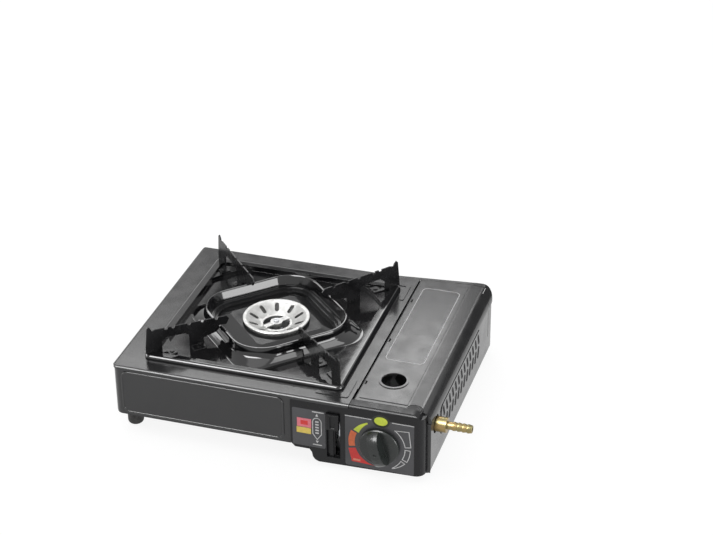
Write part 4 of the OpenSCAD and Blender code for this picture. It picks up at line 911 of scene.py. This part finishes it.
def ink(name, colour):
    """Ink that is a little darker in clouds, where it lies thin."""
    made = Finish(name, colour, INK_ROUGHNESS)
    made.cloudy(tuple(INK_THIN * c for c in colour), 400.0, 3.0)
    made.grain(0.05, 0.0001, 2500.0, 2.0)
    return made.material


INK_COLOURS = {
    "ink_pale": (0.62, 0.62, 0.62),
    "ink_lime": (0.62, 0.72, 0.06),
    "ink_olive": (0.010, 0.014, 0.002),
    "ink_orange": (0.75, 0.16, 0.05),
    "ink_red": (0.72, 0.035, 0.03),
    "ink_salmon": (0.8, 0.3, 0.2),
    "ink_pink": (0.78, 0.2, 0.24),
    "ink_yellow": (0.8, 0.6, 0.12),
}
INKS = {name: ink(name, colour) for name, colour in INK_COLOURS.items()}
INK_UNDER = -0.03
INK_FRONT = -0.05
INK_OVER = -0.08
INK_BACK = 0.02
print("inks:", len(INKS))

# %% Drawing helpers in the plane of the front face
KNOB_X = (knob_centre.x - corner.x) / MM
KNOB_Z = knob_centre.z / MM
TIGHTEST = 0.5


def round_knob(radius, degrees):
    """A point at a radius and angle round the knob's axis, as x and z in millimetres."""
    angle = math.radians(degrees)
    return (KNOB_X + radius * math.cos(angle), KNOB_Z + radius * math.sin(angle))


def arc_of(radius, start, end, steps):
    """An arc round the knob; radius may be a pair, for an arc that spirals."""
    first, last = radius if isinstance(radius, tuple) else (radius, radius)
    return [round_knob(first + (last - first) * t, start + (end - start) * t)
            for t in (k / steps for k in range(steps + 1))]


def band(inner, outer, start, end, steps=16):
    """Outline of the field between two radii; either may be a pair, for a field that grows."""
    return arc_of(outer, start, end, steps) + arc_of(inner, start, end, steps)[::-1]


def oval(x, z, half_wide, half_high, steps=40):
    """Outline of an oval about a point."""
    return [(x + half_wide * math.cos(turn), z + half_high * math.sin(turn))
            for turn in (2 * math.pi * k / steps for k in range(steps))]


def rectangle(low_x, low_z, high_x, high_z):
    return [(low_x, low_z), (high_x, low_z), (high_x, high_z), (low_x, high_z)]


def front_field(shape, outline, front=INK_FRONT):
    """Adds a prism with this outline, given as x and z in millimetres, to a bmesh."""
    near, far = ([shape.verts.new(at(x, depth, z)) for x, z in outline] for depth in (front, INK_BACK))
    shape.faces.new(near)
    shape.faces.new(far[::-1])
    skin(shape, near, far)


def offset_line(points, width):
    """The two sides of a closed stroke, moved out at bends so that the stroke keeps its width."""
    left, right = [], []
    for k, point in enumerate(points):
        here = Vector(point)
        entering = (here - Vector(points[k - 1])).normalized()
        leaving = (Vector(points[(k + 1) % len(points)]) - here).normalized()
        along = (entering + leaving).normalized()
        side = Vector((-along.y, along.x))
        bend = max(TIGHTEST, side.dot(Vector((-leaving.y, leaving.x))))
        left.append(here + side * width / 2 / bend)
        right.append(here - side * width / 2 / bend)
    return left, right


def front_stroke(shape, points, width):
    """Adds a closed line of ink through the points, as short four-sided prisms that share their ends."""
    loops = []
    for left, right in zip(*offset_line(points, width)):
        section = ((left, INK_FRONT), (right, INK_FRONT), (right, INK_BACK), (left, INK_BACK))
        loops.append([shape.verts.new(at(p[0], depth, p[1])) for p, depth in section])
    skin_all(shape, loops)


def printed(name, colour, draw, body="case"):
    """A printed mark: draw fills a bmesh, and the mark rides on a body."""
    shape = bmesh.new()
    draw(shape)
    bmesh.ops.recalc_face_normals(shape, faces=shape.faces)
    piece = loose_object(name, shape)
    piece.data.materials.append(INKS[colour])
    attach(piece, body)
    print(name, len(piece.data.polygons), "faces")


def printed_field(name, colour, outline, front=INK_FRONT):
    """A printed mark that is one field."""
    printed(name, colour, lambda shape: front_field(shape, outline, front))


print("the knob's axis stands", round(KNOB_X, 1), "right of and", round(KNOB_Z, 1), "above the corner")

# %% Marks round the knob
BAND_INNER = 26.4
BAND_OUTER = 33.0
LINE = 0.85
plate_low, plate_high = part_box("dial_plate")
PLATE_LEFT = (plate_low.x - corner.x) / MM
PLATE_RIGHT = (plate_high.x - corner.x) / MM
TOP_LINE_Z = 69.3
OVAL_X, OVAL_Z = 293.3, 68.9
RED_CORNERS = [(258.9, 30.0), (262.5, 14.6), (287.5, 13.4)]


def top_line(shape):
    """A line along the plate's top, broken by the oval."""
    for left, right in ((PLATE_LEFT, OVAL_X - 10.0), (OVAL_X + 11.5, PLATE_RIGHT)):
        front_field(shape, rectangle(left, TOP_LINE_Z - LINE / 2, right, TOP_LINE_Z + LINE / 2))


def flame_outlines(shape):
    """Three empty boxes that shrink round the knob, from full flame to low."""
    top_box = [(307.9, 60.4), (322.6, 61.4), (324.7, 43.2), (318.8, 42.0)]
    front_stroke(shape, top_box + arc_of(BAND_INNER + 0.3, 12.0, 52.0, 5), LINE)
    front_stroke(shape, band(BAND_INNER + 0.2, 32.0, -27.0, 0.0, 6), LINE)
    front_stroke(shape, band((BAND_INNER + 0.2, BAND_INNER + 1.6), (31.4, 28.6), -33.0, -62.0, 6), LINE)


printed("dial_top_line", "ink_pale", top_line)
printed_field("dial_oval_edge", "ink_olive", oval(OVAL_X, OVAL_Z, 9.3, 7.2), INK_UNDER)
printed_field("dial_oval", "ink_lime", oval(OVAL_X, OVAL_Z, 7.0, 5.0))
printed_field("dial_lime_band", "ink_lime", band((24.8, 27.2), (31.2, 28.8), 152.0, 117.0))
printed_field("dial_orange_band", "ink_orange", band(BAND_INNER, BAND_OUTER, 156.0, 191.0))
printed_field("dial_red_band", "ink_red", RED_CORNERS + arc_of(BAND_INNER, 252.0, 196.0, 14))
printed_field("dial_salmon_patch", "ink_salmon", rectangle(264.0, 16.0, 271.5, 18.2), INK_OVER)
printed("dial_flame_boxes", "ink_pale", flame_outlines)

# %% Marks beside the lever
SIGN_X = 225.6
SLIDE_HALF = 4.6
RUNG_Z, RUNG_PITCH = 40.5, 3.4


def lever_diagram(shape):
    """The lever's way down: a slide with rungs, between an arrow up, an arrow down and two lines."""
    arc = [(SIGN_X + SLIDE_HALF * math.cos(turn), 54.5 + 5.0 * math.sin(turn))
           for turn in (math.pi * k / 10 for k in range(11))]
    taper = [(SIGN_X - SLIDE_HALF, 40.0), (SIGN_X, 33.5), (SIGN_X + SLIDE_HALF, 40.0)]
    front_stroke(shape, arc + taper, 0.8)
    for rung in range(5):
        low = RUNG_Z + RUNG_PITCH * rung
        front_field(shape, rectangle(SIGN_X - 1.8, low, SIGN_X + 1.8, low + RUNG_PITCH / 2))
    front_field(shape, rectangle(SIGN_X - 5.0, 66.2, SIGN_X + 7.5, 67.4))
    front_field(shape, rectangle(SIGN_X - 4.8, 26.4, SIGN_X + 4.8, 27.5))
    for tip, foot in ((65.0, 61.5), (28.9, 31.9)):
        front_field(shape, [(SIGN_X, tip), (SIGN_X - 1.6, foot), (SIGN_X + 1.6, foot)])


printed_field("sign_pink_block", "ink_pink", rectangle(204.2, 46.3, 219.4, 57.0))
printed_field("sign_red_block", "ink_red", rectangle(208.0, 49.2, 215.8, 54.4), INK_OVER)
printed_field("sign_yellow_block", "ink_yellow", rectangle(203.6, 38.8, 219.0, 45.8))
printed("sign_lever_diagram", "ink_pale", lever_diagram)

# %% [markdown]
# ## A plain frame on the lid
#
# The lid has a long raised field. Its place for a label holds only a thin rounded frame. The frame lies
# flat on the field, so it is drawn in plan and given a hair of thickness.

# %% Frame on the lid
FRAME_LOW = (269.5, 93.0)
FRAME_HIGH = (311.0, 245.0)
FRAME_R = 6.0
FRAME_LINE = 0.7
LID_FIELD_Z = 82.1
FRAME_TOP_Z, FRAME_FOOT_Z = LID_FIELD_Z - INK_FRONT, LID_FIELD_Z - INK_BACK


def rounded_outline(low, high, radius, steps=6):
    """Rectangle with rounded corners, anticlockwise from its right rear one."""
    points = []
    centres = ((high[0] - radius, high[1] - radius, 0), (low[0] + radius, high[1] - radius, 90),
               (low[0] + radius, low[1] + radius, 180), (high[0] - radius, low[1] + radius, 270))
    for x, y, start in centres:
        for k in range(steps + 1):
            angle = math.radians(start + 90.0 * k / steps)
            points.append((x + radius * math.cos(angle), y + radius * math.sin(angle)))
    return points


def lid_frame(shape):
    loops = []
    for a, b in zip(*offset_line(rounded_outline(FRAME_LOW, FRAME_HIGH, FRAME_R), FRAME_LINE)):
        section = ((a, FRAME_TOP_Z), (b, FRAME_TOP_Z), (b, FRAME_FOOT_Z), (a, FRAME_FOOT_Z))
        loops.append([shape.verts.new(at(p[0], p[1], z)) for p, z in section])
    skin_all(shape, loops)


printed("lid_frame", "ink_pale", lid_frame, "lid")

# %% [markdown]
# ## Floor, backdrop and light
#
# A pale floor and a white world make a plain studio. The camera and mirror-like rays see the world at
# full white, and other rays see a dimmer one, so the lamps do the modelling. Softboxes hang behind the
# stove, where the flat lid and the rolled edges mirror them to the camera, and others stand left and
# right and overhead. Two lamps only draw glints in the gloss and light nothing else. Three dark cards,
# which only reflections see, put accents into the gloss, as black flags in a studio do.

# %% Floor
WHITE = (1.0, 1.0, 1.0, 1.0)
MATT = 0.9
FLOOR_GREY = 0.9
FLOOR_SIZE = 14.0
FLOOR_SHARE = 0.8
FLOOR_WHITE = 1.1


def matt(name, grey):
    """A plain matt material that isn't part of the stove."""
    material = bpy.data.materials.new(name)
    material.use_nodes = True
    shader = material.node_tree.nodes["Principled BSDF"]
    shader.inputs["Base Color"].default_value = (grey, grey, grey, 1.0)
    shader.inputs["Roughness"].default_value = MATT
    return material, shader


def flat_piece(name, corners, material):
    """One four-sided face."""
    mesh = bpy.data.meshes.new(name)
    mesh.from_pydata(corners, [], [(0, 1, 2, 3)])
    mesh.materials.append(material)
    made = bpy.data.objects.new(name, mesh)
    bpy.context.scene.collection.objects.link(made)
    return made


def seen_by(tree, *rays):
    """A value that is 1 for the named kinds of ray and 0 for all others."""
    path = tree.nodes.new("ShaderNodeLightPath")
    seen = path.outputs[rays[0]]
    for ray in rays[1:]:
        either = tree.nodes.new("ShaderNodeMath")
        either.operation = "MAXIMUM"
        tree.links.new(seen, either.inputs[0])
        tree.links.new(path.outputs[ray], either.inputs[1])
        seen = either.outputs["Value"]
    return seen


def lit_floor():
    """Pale floor: the camera and mirrors see it mostly as plain white, with a soft shadow left."""
    material, shader = matt("pale_floor", FLOOR_GREY)
    shader.inputs["Specular IOR Level"].default_value = 0.0
    tree = material.node_tree
    plain = tree.nodes.new("ShaderNodeEmission")
    plain.inputs["Strength"].default_value = FLOOR_WHITE
    share = tree.nodes.new("ShaderNodeMath")
    share.operation = "MULTIPLY"
    share.inputs[1].default_value = FLOOR_SHARE
    mixed = tree.nodes.new("ShaderNodeMixShader")
    tree.links.new(seen_by(tree, "Is Camera Ray", "Is Glossy Ray"), share.inputs[0])
    tree.links.new(share.outputs["Value"], mixed.inputs["Fac"])
    tree.links.new(shader.outputs["BSDF"], mixed.inputs[1])
    tree.links.new(plain.outputs["Emission"], mixed.inputs[2])
    tree.links.new(mixed.outputs["Shader"], tree.nodes["Material Output"].inputs["Surface"])
    return material


edge = FLOOR_SIZE / 2
floor = flat_piece("floor", [(-edge, -edge, 0), (edge, -edge, 0), (edge, edge, 0), (-edge, edge, 0)],
                   lit_floor())
print("floor", FLOOR_SIZE, "m square")

# %% World
WORLD_DIFFUSE = 0.5
world = bpy.data.worlds.new("studio")
bpy.context.scene.world = world
world.use_nodes = True
tree = world.node_tree
strength = tree.nodes.new("ShaderNodeMapRange")
strength.inputs["To Min"].default_value = WORLD_DIFFUSE
strength.inputs["To Max"].default_value = 1.0
tree.links.new(seen_by(tree, "Is Camera Ray", "Is Glossy Ray", "Is Transmission Ray"),
               strength.inputs["Value"])
background = tree.nodes["Background"]
background.inputs["Color"].default_value = WHITE
tree.links.new(strength.outputs["Result"], background.inputs["Strength"])
print("world lights rough surfaces at", WORLD_DIFFUSE)

# %% Dark cards that only reflections see
CARD_GREY = 0.02


def upright(low_x, high_x, low_z, high_z, y):
    """The corners of an upright rectangle that faces the front."""
    return [(low_x, y, low_z), (high_x, y, low_z), (high_x, y, high_z), (low_x, y, high_z)]


CARDS = {
    "tray_card": [(-0.74, 1.6, 0.99), (-0.375, 1.6, 0.99), (-0.5, 1.6, 1.235), (-0.89, 1.6, 1.235)],
    "curve_card": upright(0.13, 0.6, 0.03, 0.36, 0.42),
    "rear_card": upright(-0.375, 0.1, 0.84, 1.03, 1.6),
}
for name, corners in CARDS.items():
    card = flat_piece(name, corners, matt(name, CARD_GREY)[0])
    for ray in ("camera", "diffuse", "transmission", "volume_scatter", "shadow"):
        setattr(card, "visible_" + ray, False)
print("cards:", list(CARDS))

# %% Lamps
def softbox(name, place, aim, width, height, radiance):
    """A rectangular lamp that looks at aim; radiance is how bright its face is, with 1 as white."""
    data = bpy.data.lights.new(name, "AREA")
    data.shape = "RECTANGLE"
    data.size = width
    data.size_y = height
    data.energy = radiance * math.pi * width * height
    lamp = bpy.data.objects.new(name, data)
    bpy.context.scene.collection.objects.link(lamp)
    lamp.location = place
    lamp.rotation_euler = (Vector(aim) - Vector(place)).to_track_quat("-Z", "Y").to_euler()
    return lamp


STOVE = (0.0, 0.0, 0.08)
SOFTBOXES = {
    "lid_softbox": ((-0.26, 1.62, 1.33), (-0.26, 0.0, 1.33), 0.48, 0.56, 4.6),
    "front_edge_softbox": ((-0.825, 1.62, 1.7), (-0.825, 0.0, 1.7), 0.65, 0.8, 5.0),
    "overhead_softbox": ((-0.3, -0.5, 2.2), (0.0, 0.0, 0.0), 1.6, 1.6, 1.0),
    "right_softbox": ((2.1, -0.75, 0.45), STOVE, 1.1, 0.9, 8.0),
    "left_softbox": ((-2.1, 0.1, 0.45), STOVE, 1.1, 0.9, 4.5),
    "glint_strip": ((-0.62, -1.3, 1.9), (-0.05, -0.14, 0.07), 1.6, 1.3, 14.0),
    "ring_softbox": ((1.45, -0.15, 1.62), (-0.05, 0.0, 0.08), 0.9, 0.9, 3.4),
}
GLINTS_ONLY = ("glint_strip", "ring_softbox")
for name, settings in SOFTBOXES.items():
    lamp = softbox(name, *settings)
    lamp.visible_diffuse = name not in GLINTS_ONLY
print("lamps:", list(SOFTBOXES))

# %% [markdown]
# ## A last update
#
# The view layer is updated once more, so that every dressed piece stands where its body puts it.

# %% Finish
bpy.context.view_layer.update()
